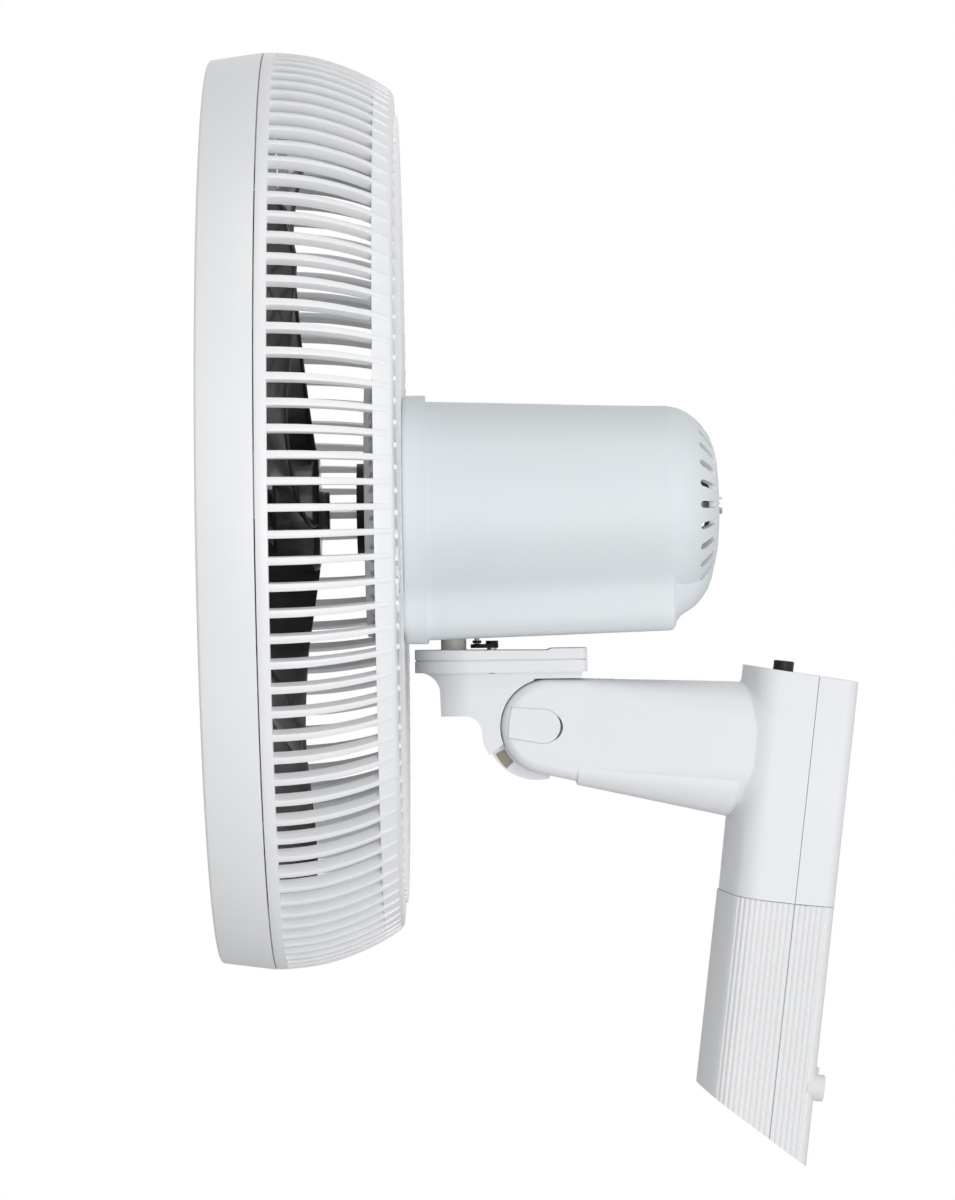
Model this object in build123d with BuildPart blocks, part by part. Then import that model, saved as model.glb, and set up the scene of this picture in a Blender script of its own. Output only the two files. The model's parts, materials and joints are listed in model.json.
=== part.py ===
from build123d import *
from math import cos, radians, sin, tan
import os

# Wall mounted fan. Millimetres. The wall is on the +X side, the fan blows towards -X,
# +Z is up, and the origin is the middle of the two keyholes in the column's back.

# ---- driving dimensions ----
nose_down = 7.0            # how far the head looks down at rest, degrees

# guards, measured along the motor axis from the seam between them
guard_radius = 225.0
band_depth = 27.0          # smooth band of the front guard
band_front_radius = 221.3
rim_depth = 6.0            # plain rim of the rear guard, before the slats
slat_count = 116
slat_thickness = 3.4
slat_depth = 5.8           # radial depth of a slat
slat_shift = 0.5           # degrees
slat_end = 61.0            # where the slats run out on the back ring
slat_end_radius = 206.3
back_face = 62.5
back_radius = 205.0
front_bar_count = 72
hub_plate_radius = 70.0
hub_collar_radius = 62.5   # round collar in the middle of the rear guard
collar_front = 46.4
flange_inner = 190.0

# fan blade: its rear and front edges at six radii, along the axis and in degrees round it
blade_count = 5
blade_radii = (29.0, 60.0, 100.0, 140.0, 175.0, 195.0)
blade_rear = (23.2, 18.8, 14.4, 11.9, 16.6, 19.5)
blade_front = (-6.0, -12.0, -16.2, -16.6, -16.5, -16.0)
blade_rear_turn = (-49.4, -37.9, -26.3, -14.6, -2.9, 10.2)
blade_front_turn = (32.0, 35.0, 35.9, 33.9, 32.3, 30.7)
blade_phase = 14.8
blade_camber = -5.4
blade_thickness = 2.2
chord_steps = 8
hub_radius = 31.0
hub_front = 1.0
hub_back = 24.0
hub_wall = 2.5
collar_radius = 10.0
collar_back = 28.4

# motor and its housing
shaft_radius = 4.0
cover_front = 64.6
cover_back = 76.0
cover_radius = 56.1
housing_radius = 53.1
housing_rear_radius = 49.3
dome_start = 190.0
dome_end = 219.8
chin_half = 34.0           # half width of the flat sided chin under the motor
chin_bottom = -64.3
chin_rear_bottom = -61.0
chin_rear = 197.5
wall = 2.5
vent_count = 24

# swivel and neck, in the head's frame
swivel_at = 88.4
post_radius = 6.25
plate_top = -69.0
plate_seam = -74.8
plate_bottom = -80.5
plate_front = 69.2
plate_rear = 153.7
plate_half = 27.0
neck_half = 23.4
neck_foot = 70.0
tongue_half = 11.7
crank_reach = 7.39
link_reach = 11.5          # swing pin to the swivel axis
link_length = 13.0
link_width = 4.4
link_pin_radius = 1.2

# tilt pivot: in the row frame it lies on the arm's axis
pivot = Vector(-148, 0, 0)
pivot_along = 134.3        # the same pivot in the head's frame
pivot_below = 107.3
cheek_radius = 23.2
cheek_half = 26.0
cheek_inner = 12.5
bolt_radius = 3.0

# arm and column
column_depth = 56.5
column_half = 31.0
column_top = 38.0          # at the wall
top_rise = 2.4             # how much higher the top stands at the front
shell_seam = -19.5         # between the front and the rear shells
level_seam = -72.8         # between the smooth and the ribbed shells
back_bottom = -199.5
front_bottom = -166.1
front_corner = 22.0
back_corner = 6.0
arm_root_height = 65.5
arm_tip = -132.0
arm_tip_height = 50.0
cover_slope = 0.102        # how the panel under the arm falls towards the column
button_at = -35.8
button_radius = 5.05
button_stands = 6.6        # above the top's height at the wall
switch_top = 26.9          # the button's stem stops 0.3 mm above it
bumper_height = -161.0
bumper_side = 24.0
keyhole_spread = 36.0

# ---- the head's own frame ----
lean = radians(nose_down)
along = Vector(cos(lean), 0, sin(lean))     # motor axis, towards the wall
up = Vector(-sin(lean), 0, cos(lean))
guard_centre = pivot - along * pivot_along + up * pivot_below
motor_axis = Axis(guard_centre, along)
face = Plane(origin=guard_centre, x_dir=(0, 1, 0), z_dir=along)
side = Plane(origin=guard_centre, x_dir=along, z_dir=(0, -1, 0))
level = Plane(origin=guard_centre, x_dir=along, z_dir=up)

# the slanting bottom of the column, and the cord's gland in it
bottom_slope = (back_bottom - front_bottom) / column_depth
gland_at = -12.0
gland_plane = Plane(origin=(gland_at, 0, back_bottom + bottom_slope * gland_at),
                    x_dir=(1, 0, bottom_slope), z_dir=(bottom_slope, 0, -1))

os.makedirs("parts", exist_ok=True)


def keep(piece, label):
    piece.label = label
    export_step(piece, f"parts/{label}.step")


def tube(plane, outer, length, inner=0, mode=Mode.ADD, centre=(0, 0)):
    """A disc or tube that stands on a plane."""
    with BuildSketch(plane) as ring:
        with Locations(centre):
            Circle(outer)
            if inner:
                Circle(inner, mode=Mode.SUBTRACT)
    extrude(ring.sketch, amount=length, mode=mode)


def turned(points, mode=Mode.ADD):
    """A ring about the motor axis, from its profile in the side plane."""
    with BuildSketch(side) as profile:
        with BuildLine():
            Polyline(*points, close=True)
        make_face()
    revolve(profile.sketch, axis=motor_axis, mode=mode)


def screws(plane, places, shank, length, head, head_height):
    """A group of like screws, heads at the plane, shanks going in against its normal."""
    for place in places:
        tube(plane, head, head_height, centre=place)
        tube(plane.offset(-length), shank, length, centre=place)


# ---- guards ----
def grille(plane, middle, length, count, width, turn, rings, centre, depth):
    """Bars round a centre disc, with rings that tie them together."""
    with BuildSketch(plane) as bars:
        with PolarLocations(middle, count):
            Rectangle(length, width, rotation=turn)
        Circle(centre)
    extrude(bars.sketch, amount=depth)
    for radius in rings:
        tube(plane, radius + width / 2, depth, inner=radius - width / 2)


def front_guard():
    with BuildPart() as guard:
        turned([(0, guard_radius - 3), (0, guard_radius), (-band_depth + 2, band_front_radius + 0.4),
                (-band_depth, band_front_radius - 2), (-band_depth, 208), (-band_depth + 3, 208),
                (-band_depth + 3, band_front_radius - 4)])
        grille(face.offset(-band_depth + 1), 125, 172, front_bar_count, 2.2, 0, (120, 165), 43, 5)
        tube(face.offset(-band_depth + 1), 40, 2.2, mode=Mode.SUBTRACT)
    keep(guard.part, "front_guard")
    with BuildPart() as disc:
        tube(face.offset(-band_depth), 39.7, 3.2)
        fillet(disc.edges().group_by(Axis(guard_centre, along))[0], 1)
    keep(disc.part, "badge_disc")


def slat():
    """One fin in the plane of the motor axis, following the guard's shoulder."""
    with BuildPart(mode=Mode.PRIVATE) as fin:
        with BuildSketch(side) as profile:
            with BuildLine():
                outer = ThreePointArc((rim_depth - 1, guard_radius - 0.1), (35, 219.3),
                                      (slat_end, slat_end_radius))
                inner = ThreePointArc((slat_end, slat_end_radius - slat_depth + 2),
                                      (35, 219.3 - slat_depth), (rim_depth - 1, guard_radius - slat_depth))
                Line(outer @ 1, inner @ 0)
                Line(inner @ 1, outer @ 0)
            make_face()
        extrude(profile.sketch, amount=slat_thickness / 2, both=True)
    return fin.part


def rear_guard():
    fin = slat()
    pitch = 360 / slat_count
    with BuildPart() as guard:
        turned([(0, guard_radius - 8), (0, guard_radius), (rim_depth, guard_radius - 0.1),
                (rim_depth, guard_radius - 8)])
        turned([(53.7, 204.5), (53.7, 210.2), (slat_end, slat_end_radius - 0.5),
                (back_face, back_radius), (back_face + 0.8, flange_inner), (back_face - 1.6, flange_inner),
                (back_face - 3, 199)])
        tube(face.offset(collar_front), hub_collar_radius, back_face + 1.5 - collar_front,
             inner=hub_collar_radius - 2.5)
        grille(face.offset(back_face - 5), 133, 136, slat_count // 2, 2.4, 8, (110, 155),
               hub_plate_radius, 7)
        tube(face.offset(back_face - 5), hub_plate_radius - 3, 4, mode=Mode.SUBTRACT)
        tube(face.offset(back_face - 5), 19.2, 8, mode=Mode.SUBTRACT)
        add([fin.rotate(motor_axis, pitch * turn + slat_shift) for turn in range(slat_count)])
    keep(guard.part, "rear_guard")


def guard_joining():
    with BuildPart() as clips:
        with BuildSketch(face.offset(-9)) as hooks:
            with PolarLocations(217.6, 4, start_angle=45):
                Rectangle(3.2, 14)
        extrude(hooks.sketch, amount=8.7)
        with BuildSketch(face.offset(-9)) as tongues:
            with PolarLocations(215.3, 4, start_angle=45):
                Rectangle(2.6, 14)
        extrude(tongues.sketch, amount=14.5)
    keep(clips.part, "guard_clips")
    with BuildPart() as nut:
        tube(face.offset(42), 23, 6, inner=18.9)
        tube(face.offset(48), 26, 13.3, inner=18.9)
        with BuildSketch(face.offset(42)) as grips:
            with PolarLocations(26.5, 6):
                Circle(3.2)
        extrude(grips.sketch, amount=20, mode=Mode.SUBTRACT)
    keep(nut.part, "guard_nut")


# ---- fan blade ----
def blade_sheet():
    """Middle surface of one blade, from its rear edge to its front edge at each radius."""
    rows = []
    table = zip(blade_radii, blade_rear, blade_front, blade_rear_turn, blade_front_turn)
    for radius, rear, front, rear_turn, front_turn in table:
        row = []
        for step in range(chord_steps + 1):
            share = step / chord_steps
            turn = radians(blade_phase + rear_turn + (front_turn - rear_turn) * share)
            reach = rear + (front - rear) * share + 4 * blade_camber * share * (1 - share)
            row.append(guard_centre + along * reach + Vector(0, radius * sin(turn), 0)
                       + up * (radius * cos(turn)))
        rows.append(row)
    return Face.make_surface_from_array_of_points(rows)


def fan_blade():
    with BuildPart(mode=Mode.PRIVATE) as blade:
        thicken(blade_sheet(), amount=blade_thickness / 2, both=True)
    pitch = 360 / blade_count
    with BuildPart() as fan:
        tube(face.offset(hub_front), hub_radius, hub_back - hub_front)
        tube(face.offset(hub_back), collar_radius, collar_back - hub_back)
        tube(face.offset(hub_front), hub_radius - hub_wall, hub_back - hub_front - 6,
             inner=collar_radius - 1, mode=Mode.SUBTRACT)
        tube(face.offset(hub_front), collar_radius - 1, 1, mode=Mode.SUBTRACT)
        tube(face.offset(hub_front), shaft_radius, collar_back, mode=Mode.SUBTRACT)
        add([blade.part.rotate(motor_axis, pitch * turn) for turn in range(blade_count)])
    keep(fan.part, "fan_blade")
    with BuildPart() as nut:
        with BuildSketch(face.offset(-8)) as grip:
            RegularPolygon(11, 8)
        extrude(grip.sketch, amount=9.7)
        tube(face.offset(-6), shaft_radius, 8, mode=Mode.SUBTRACT)
    keep(nut.part, "blade_nut")


# ---- motor ----
motor_screw_places = [(29, 29), (-29, 29), (29, -29), (-29, -29)]


def screw_holes(start, length):
    for place in motor_screw_places:
        tube(face.offset(start), 1.85, length, mode=Mode.SUBTRACT, centre=place)


def motor_parts():
    with BuildPart() as shaft:
        tube(face.offset(-5.5), shaft_radius, 185)
    keep(shaft.part, "motor_shaft")
    with BuildPart() as rotor:
        tube(face.offset(99), 26, 38, inner=shaft_radius)
    keep(rotor.part, "rotor_core")
    with BuildPart() as core:
        tube(face.offset(101), 44, 34, inner=26.5)
        with BuildSketch(face.offset(101)) as slots:
            with PolarLocations(31.5, 16):
                Rectangle(9, 4)
        extrude(slots.sketch, amount=34, mode=Mode.SUBTRACT)
        screw_holes(101, 34)
    keep(core.part, "stator_core")
    with BuildPart() as windings:
        for start in (91.5, 135.2):
            tube(face.offset(start), 38.6, 9.3, inner=28)
        fillet(windings.edges(), 2.5)
    keep(windings.part, "stator_windings")
    for label, start, lip in (("front_bracket", 81, 8.5), ("rear_bracket", 147, -8.5)):
        with BuildPart() as bracket:
            tube(face.offset(start), 47, 4, inner=8)
            tube(face.offset(start + min(lip, 0)), 47, 4 + abs(lip), inner=44.2)
            tube(face.offset(start + (0 if lip > 0 else -3)), 12, 7, inner=8)
            screw_holes(start - 10, 24)
        keep(bracket.part, label)
    for label, start in (("front_bush", 80.5), ("rear_bush", 144)):
        with BuildPart() as bush:
            tube(face.offset(start), 8, 7.5, inner=shaft_radius + 0.04)
        keep(bush.part, label)
    with BuildPart() as bolts:
        screws(face.offset(151), motor_screw_places, 1.8, 69, 3.4, 2)
    keep(bolts.part, "motor_screws")


def head_section(plane, radius, half, bottom, corner):
    """Round top, straight sides and a flat bottom: the section of the motor housing."""
    with BuildSketch(plane) as section:
        Circle(radius)
        with Locations((0, bottom / 2)):
            Rectangle(2 * half, -bottom)
        fillet(section.vertices().group_by(Axis.Y)[0], corner)
    return section.sketch


def housing_form(inset, mode):
    """The motor housing as a full body, its faces moved in by the inset."""
    with BuildSketch(side) as profile:
        with BuildLine():
            Polyline((cover_back, 0), (cover_back, housing_radius - inset),
                     (dome_start, housing_rear_radius - inset))
            ThreePointArc((dome_start, housing_rear_radius - inset), (207, 44 - inset),
                          (214.8 - inset, 34 - inset / 2))
            ThreePointArc((214.8 - inset, 34 - inset / 2), (218.8 - inset, 17), (dome_end - inset, 0))
            Line((dome_end - inset, 0), (cover_back, 0))
        make_face()
    revolve(profile.sketch, axis=motor_axis, mode=mode)
    with BuildPart(mode=Mode.PRIVATE) as chin:
        with BuildSketch(side):
            with BuildLine():
                Polyline((cover_back, -20), (cover_back, chin_bottom + inset),
                         (chin_rear - 5, chin_rear_bottom + inset), (chin_rear - inset, -56 + inset),
                         (chin_rear - inset, -20), close=True)
            make_face()
        extrude(amount=chin_half - inset, both=True)
        fillet(chin.edges().filter_by(lambda edge: edge.center().Z < guard_centre.Z - 34)
               .filter_by(lambda edge: abs(edge.center().Y) > 5), 7 - inset)
    add(chin.part, mode=mode)


def motor_housing():
    with BuildPart() as housing:
        housing_form(0, Mode.ADD)
        housing_form(wall, Mode.SUBTRACT)
        with BuildSketch(face.offset(198)) as vents:
            with PolarLocations(31.5, vent_count):
                SlotOverall(23, 3.4)
        extrude(vents.sketch, amount=30, mode=Mode.SUBTRACT)
        tube(level.offset(-72), 12.6, 20, mode=Mode.SUBTRACT, centre=(swivel_at, 0))
        tube(face.offset(190), 2.2, 40, mode=Mode.SUBTRACT)
    keep(housing.part, "motor_housing")
    with BuildPart() as fixing:
        tube(face.offset(dome_end + 0.3), 4.2, 1.4)
        tube(face.offset(179.6), 1.9, dome_end + 0.4 - 179.6)
    keep(fixing.part, "housing_screw")
    with BuildPart() as cover:
        extrude(head_section(face.offset(cover_front), cover_radius, 37, -66.1, 8),
                amount=cover_back - cover_front)
        extrude(head_section(face.offset(cover_front + 3), cover_radius - wall, 34.5, -63.6, 6),
                amount=cover_back, mode=Mode.SUBTRACT)
        tube(face.offset(46), 18.8, cover_front - 46)
        tube(face.offset(40), 13, 40, mode=Mode.SUBTRACT)
        for height in (43, -49):
            with BuildSketch(face.offset(cover_front)) as slot:
                with Locations((0, height)):
                    Rectangle(120, 11)
                Circle(hub_plate_radius - 32, mode=Mode.SUBTRACT)
                Rectangle(66, 140, mode=Mode.SUBTRACT)
            extrude(slot.sketch, amount=1.2, mode=Mode.SUBTRACT)
    keep(cover.part, "motor_front_cover")


# ---- swivel ----
def swivel_parts():
    with BuildPart() as bracket:
        with BuildSketch(level.offset(-60.6)) as foot:
            with Locations(((78.2 + 104) / 2, 0)):
                Rectangle(25.8, 30)
        extrude(foot.sketch, amount=5)
        with BuildSketch(level.offset(-60.6)) as ears:
            with Locations((79.6, 12.5), (79.6, -12.5)):
                Rectangle(2.8, 5)
        extrude(ears.sketch, amount=24)
        tube(level.offset(-63.4), 11, 3, centre=(swivel_at, 0))
        tube(level.offset(-64), post_radius + 0.05, 9, mode=Mode.SUBTRACT, centre=(swivel_at, 0))
        tube(level.offset(-66.3), link_pin_radius, 6, centre=(swivel_at + link_reach, 0))
    keep(bracket.part, "swivel_bracket")
    with BuildPart() as post:
        tube(level.offset(plate_seam - 2.4), 9, 2.4, centre=(swivel_at, 0))
        tube(level.offset(plate_seam), post_radius, 24.5, centre=(swivel_at, 0))
        tube(level.offset(-54), post_radius, 1.2, inner=5.2, mode=Mode.SUBTRACT, centre=(swivel_at, 0))
    keep(post.part, "swivel_post")
    with BuildPart() as washer:
        tube(level.offset(-55.5), 8.8, 1.3, inner=post_radius + 0.1, centre=(swivel_at, 0))
    keep(washer.part, "swivel_washer")
    with BuildPart() as clip:
        with BuildSketch(level.offset(-53.9)) as ring:
            with Locations((swivel_at, 0)):
                Circle(8.6)
                Circle(5.3, mode=Mode.SUBTRACT)
            with Locations((swivel_at + 8, 0)):
                Rectangle(10, 5, mode=Mode.SUBTRACT)
        extrude(ring.sketch, amount=1)
    keep(clip.part, "swivel_clip")


def plate_section(height, inset=0.0):
    """Plan of the swivel plate: a round front, straight sides and small rear corners."""
    with BuildSketch(level.offset(height)) as plan:
        with Locations((plate_front + plate_half, 0)):
            Circle(plate_half - inset)
        with Locations(((plate_front + plate_half + plate_rear - inset) / 2, 0)):
            Rectangle(plate_rear - inset - plate_front - plate_half, 2 * (plate_half - inset))
        fillet(plan.vertices().group_by(Axis.X)[-1], 4)
    return plan.sketch


swing_motor_at = (100.6, 8.0)
crank_at = (swivel_at + link_reach + crank_reach, link_length)
cap_screw_places = [(107, 22.5), (107, -22.5), (147, 20), (147, -20)]


def swivel_cap():
    with BuildPart() as cap:
        extrude(plate_section(plate_seam + 0.7), amount=plate_top - plate_seam - 0.7)
        extrude(plate_section(plate_seam, 0.7), amount=0.7)
        with BuildSketch(side) as step:
            with BuildLine():
                Polyline((60, plate_top), (60, plate_top - 0.01), (134, plate_top - 0.9),
                         (136.5, plate_top), close=True)
            make_face()
        extrude(step.sketch, amount=40, both=True, mode=Mode.SUBTRACT)
        tube(level.offset(-90), post_radius, 30, mode=Mode.SUBTRACT, centre=(swivel_at, 0))
        tube(level.offset(-90), 3, 30, mode=Mode.SUBTRACT, centre=crank_at)
        for place in cap_screw_places:
            tube(level.offset(-90), 1.6, 30, mode=Mode.SUBTRACT, centre=place)
            tube(level.offset(plate_top - 2.6), 3.3, 5, mode=Mode.SUBTRACT, centre=place)
    keep(cap.part, "swivel_cap")
    with BuildPart() as fixings:
        screws(level.offset(plate_top - 2.6), cap_screw_places, 1.5, 9, 3, 1.6)
    keep(fixings.part, "cap_screws")


def neck_body():
    """Outline of the neck seen from the side, without the tongue."""
    with BuildSketch(side) as outline:
        with BuildLine():
            Polyline((71.5, plate_bottom), (71.5, plate_bottom + 1), (151.1, plate_bottom + 1),
                     (151.1, -83.7))
            Line((151.1, -83.7), (128.0, -83.7))
            ThreePointArc((128.0, -83.7), (109.8, -107.3), (111.3, -115.7))
            Line((111.3, -115.7), (105.4, -121.0))
            ThreePointArc((105.4, -121.0), (103, -116.6), (101.9, -111.8))
            ThreePointArc((101.9, -111.8), (100.0, -105.0), (94.6, -101.7))
            Line((94.6, -101.7), (81.8, -101.7))
            Line((81.8, -101.7), (81.5, plate_bottom - 10))
            ThreePointArc((81.5, plate_bottom - 10), (78.6, plate_bottom - 2.9), (71.5, plate_bottom))
        make_face()
    return outline.sketch


def neck_plan():
    """Plan of the neck: a round front under the plate's round front."""
    middle = plate_front + plate_half
    with BuildSketch(level.offset(-2 * neck_foot)) as plan:
        with Locations((middle, 0)):
            Circle(neck_half)
        with Locations((middle + neck_foot / 2, 0)):
            Rectangle(neck_foot, 2 * neck_half)
    return plan.sketch


def tongue_outline():
    """The round tongue that turns between the cheeks, with the tail below it."""
    with BuildSketch(side) as outline:
        with BuildLine():
            Polyline((106.2, -120.0), (112, -100), (112, plate_bottom + 1),
                     (pivot_along, plate_bottom + 1), (pivot_along, -pivot_below + 22.5))
            ThreePointArc((pivot_along, -pivot_below + 22.5), (pivot_along + 22.5, -pivot_below),
                          (pivot_along + 5, -pivot_below - 21.9))
            Line((pivot_along + 5, -pivot_below - 21.9), (134.9, -130.6))
            ThreePointArc((134.9, -130.6), (134.8, -132.3), (133.2, -133.2))
            ThreePointArc((133.2, -133.2), (115.4, -129.8), (106.2, -120.0))
        make_face()
    return outline.sketch


def insert_window(grow):
    """The window in the tail, a sector about the tilt pivot."""
    pivot_local = (pivot_along, -pivot_below)
    with BuildSketch(side) as window:
        with Locations(pivot_local):
            Circle(29 + grow)
            Circle(24.4 - grow, mode=Mode.SUBTRACT)
        reach = 40
        points = [pivot_local]
        for angle in (207.0 - grow, 215.5, 224.5 + grow):
            turn = radians(angle)
            points.append((pivot_along + reach * cos(turn), -pivot_below + reach * sin(turn)))
        with BuildLine():
            Polyline(*points, close=True)
        make_face(mode=Mode.INTERSECT)
    return window.sketch


def neck():
    with BuildPart() as body:
        extrude(neck_body(), amount=neck_half + 1, both=True)
        extrude(neck_plan(), amount=2 * neck_foot, mode=Mode.INTERSECT)
    with BuildPart() as base:
        extrude(plate_section(plate_bottom), amount=plate_seam - plate_bottom)
        add(body.part)
        extrude(tongue_outline(), amount=tongue_half, both=True)
        with BuildSketch(side) as bore:
            with Locations((pivot_along, -pivot_below)):
                Circle(bolt_radius + 0.06)
        extrude(bore.sketch, amount=40, both=True, mode=Mode.SUBTRACT)
        extrude(insert_window(0.1), amount=40, both=True, mode=Mode.SUBTRACT)
        tube(level.offset(-95.5), 12.4, 30, mode=Mode.SUBTRACT, centre=swing_motor_at)
        tube(level.offset(plate_seam - 2.6), 9.3, 10, mode=Mode.SUBTRACT, centre=(swivel_at, 0))
        for place in cap_screw_places:
            tube(level.offset(plate_seam - 6.2), 1.5, 10, mode=Mode.SUBTRACT, centre=place)
    keep(base.part, "neck")
    with BuildPart() as insert:
        extrude(insert_window(0), amount=tongue_half - 0.6, both=True)
    keep(insert.part, "tilt_insert")


def swing_drive():
    with BuildPart() as motor:
        tube(level.offset(-95.2), 12, 17, centre=swing_motor_at)
        tube(level.offset(-80), 2.6, 5, mode=Mode.SUBTRACT, centre=crank_at)
        tube(level.offset(-78.2), 3.9, 1.2, inner=2.6, centre=crank_at)
    keep(motor.part, "swing_motor")
    with BuildPart() as shaft:
        tube(level.offset(-77.8), 2.5, 10.4, centre=crank_at)
    keep(shaft.part, "swing_motor_shaft")
    pin_at = (swivel_at + link_reach, link_length)
    with BuildPart() as crank:
        with BuildSketch(level.offset(-68.7)) as arm:
            with Locations(((crank_at[0] + pin_at[0]) / 2, link_length)):
                SlotCenterToCenter(crank_reach, 6.4)
            with Locations(crank_at):
                Circle(2.5, mode=Mode.SUBTRACT)
        extrude(arm.sketch, amount=2)
        tube(level.offset(-67), 1.5, 0.55, centre=pin_at)
    keep(crank.part, "swing_crank")
    with BuildPart() as link:
        with BuildSketch(level.offset(-66.2)) as bar:
            with Locations((pin_at[0], link_length / 2)):
                SlotCenterToCenter(link_length, link_width, rotation=90)
            with Locations((pin_at[0], 0)):
                Circle(link_pin_radius + 0.06, mode=Mode.SUBTRACT)
        extrude(bar.sketch, amount=1.3)
    keep(link.part, "swing_link")


# ---- arm and column ----
upper_places = [(21, 31.6), (-21, 31.6), (22, -66), (-22, -66)]
lower_places = [(22, -84), (-22, -84), (0, -150)]
cover_screw_places = (-118, -70)


def column_section(plane, inset=0.0, flutes=False):
    """Plan of the column: large front corners, small back corners."""
    with BuildSketch(plane) as plan:
        with Locations((-column_depth / 2, 0)):
            Rectangle(column_depth - 2 * inset, 2 * (column_half - inset))
        fillet(plan.vertices().group_by(Axis.X)[0], front_corner - inset)
        fillet(plan.vertices().group_by(Axis.X)[-1], back_corner - inset)
        if flutes:
            edge = plan.wires()[0]
            steps = int(edge.length / 2.7)
            places = [edge.position_at(step / steps) for step in range(steps)]
            places = [(p.X, p.Y) for p in places if p.X > -44 and abs(p.Y) > 26]
            with Locations(*places):
                Circle(0.75, mode=Mode.SUBTRACT)
    return plan.sketch


def half_block(front, mode):
    """Keeps only what is in front of the long seam, or only what is behind it."""
    low, high = (-260, shell_seam) if front else (shell_seam, 20)
    with BuildSketch(Plane.XY.offset(-260)) as block:
        with Locations(((low + high) / 2, 0)):
            Rectangle(high - low, 90)
    extrude(block.sketch, amount=360, mode=mode)


def pillars(front, places):
    """Screw pillars that meet at the long seam; the rear ones are counterbored."""
    for place in places:
        start = -47.5 if place[0] else -54.5
        if front:
            tube(Plane.YZ.offset(start), 4, shell_seam - start, centre=place)
            tube(Plane.YZ.offset(shell_seam - 14), 1.4, 14, mode=Mode.SUBTRACT, centre=place)
        else:
            tube(Plane.YZ.offset(shell_seam), 4, -1 - shell_seam, centre=place)
            tube(Plane.YZ.offset(shell_seam), 1.5, 30, mode=Mode.SUBTRACT, centre=place)
            tube(Plane.YZ.offset(-4), 3.3, 10, mode=Mode.SUBTRACT, centre=place)


def above_top():
    """Cuts off what stands above the column's top, which rises towards the front."""
    front = -column_depth * 2
    slope = top_rise / column_depth
    with BuildSketch(Plane.XZ) as wedge:
        with BuildLine():
            Polyline((20, column_top - 20 * slope), (front, column_top - front * slope),
                     (front, 2 * column_top), (20, 2 * column_top), close=True)
        make_face()
    extrude(wedge.sketch, amount=column_half * 2, both=True, mode=Mode.SUBTRACT)


def upper_shell(front):
    """Smooth upper column with a closed top, the front or the rear half."""
    extrude(column_section(Plane.XY.offset(level_seam)), amount=column_top + top_rise - level_seam)
    above_top()
    if front:
        arm_loft(0, -46, arm_tip, Mode.ADD)
        add(round_end(cheek_radius, cheek_half, 5))
    hollow = column_section(Plane.XY.offset(level_seam - 1), wall)
    extrude(hollow, amount=column_top - wall - level_seam + 1, mode=Mode.SUBTRACT)
    half_block(front, Mode.INTERSECT)


def oblique_cut(drop, mode=Mode.SUBTRACT):
    """Everything below the slanting bottom, which is moved up by the drop."""
    low = front_bottom + drop - bottom_slope * 5
    high = back_bottom + drop + bottom_slope * 10
    with BuildSketch(Plane.XZ) as wedge:
        with BuildLine():
            Polyline((-column_depth - 5, low), (10, high), (10, -270), (-column_depth - 5, -270),
                     close=True)
        make_face()
    extrude(wedge.sketch, amount=60, both=True, mode=mode)


def lower_shell(front):
    """Ribbed lower column with its slanting closed bottom, the front or the rear half."""
    height = level_seam - back_bottom + 5
    extrude(column_section(Plane.XY.offset(level_seam - height), flutes=True), amount=height)
    oblique_cut(0)
    with BuildPart(mode=Mode.PRIVATE) as core:
        extrude(column_section(Plane.XY.offset(level_seam - height), wall), amount=height + 1)
        oblique_cut(wall)
    add(core.part, mode=Mode.SUBTRACT)
    half_block(front, Mode.INTERSECT)


def round_end(radius, half, rounding):
    """The arm's round end, the two cheeks still in one."""
    slope = tan(radians(5.9))
    reach = arm_tip - pivot.X
    with BuildPart(mode=Mode.PRIVATE) as end:
        with BuildSketch(Plane.XZ):
            with Locations((pivot.X, 0)):
                Circle(radius)
            tip_half = radius / cos(radians(5.9)) + slope * reach
            start = pivot.X - radius * sin(radians(5.9))
            start_half = radius * cos(radians(5.9))
            with BuildLine():
                Polyline((start, -start_half), (start, start_half), (arm_tip, tip_half),
                         (arm_tip, -tip_half), close=True)
            make_face()
        extrude(amount=half, both=True)
        rims = end.edges().filter_by(lambda edge: abs(abs(edge.center().Y) - half) < 0.01)
        rims = rims.filter_by(lambda edge: edge.center().X < arm_tip - 0.1)
        fillet(rims, rounding)
    return end.part


def arm_loft(inset, root, tip, mode):
    with BuildPart(mode=Mode.PRIVATE) as arm:
        with BuildSketch(Plane.YZ.offset(root)):
            RectangleRounded(2 * (cheek_half + 3 - inset), arm_root_height - 2 * inset, 24 - inset)
        with BuildSketch(Plane.YZ.offset(tip)):
            RectangleRounded(2 * (cheek_half - inset), arm_tip_height - 2 * inset, 7 - inset)
        loft(ruled=True)
    add(arm.part, mode=mode)


def cap_outline(grow):
    """The cover plate over the tilt bolt: a round end and a nearly straight one."""
    half = 8.35 + grow
    with BuildSketch(Plane.XZ) as outline:
        with Locations((-150.6, 0)):
            Circle(half)
        with BuildLine():
            Polyline((-150.6, half), (-167 - grow, half * 0.9), (-167.5 - grow, 0),
                     (-167 - grow, -half * 0.9), (-150.6, -half), close=True)
        make_face()
    return outline.sketch


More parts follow.
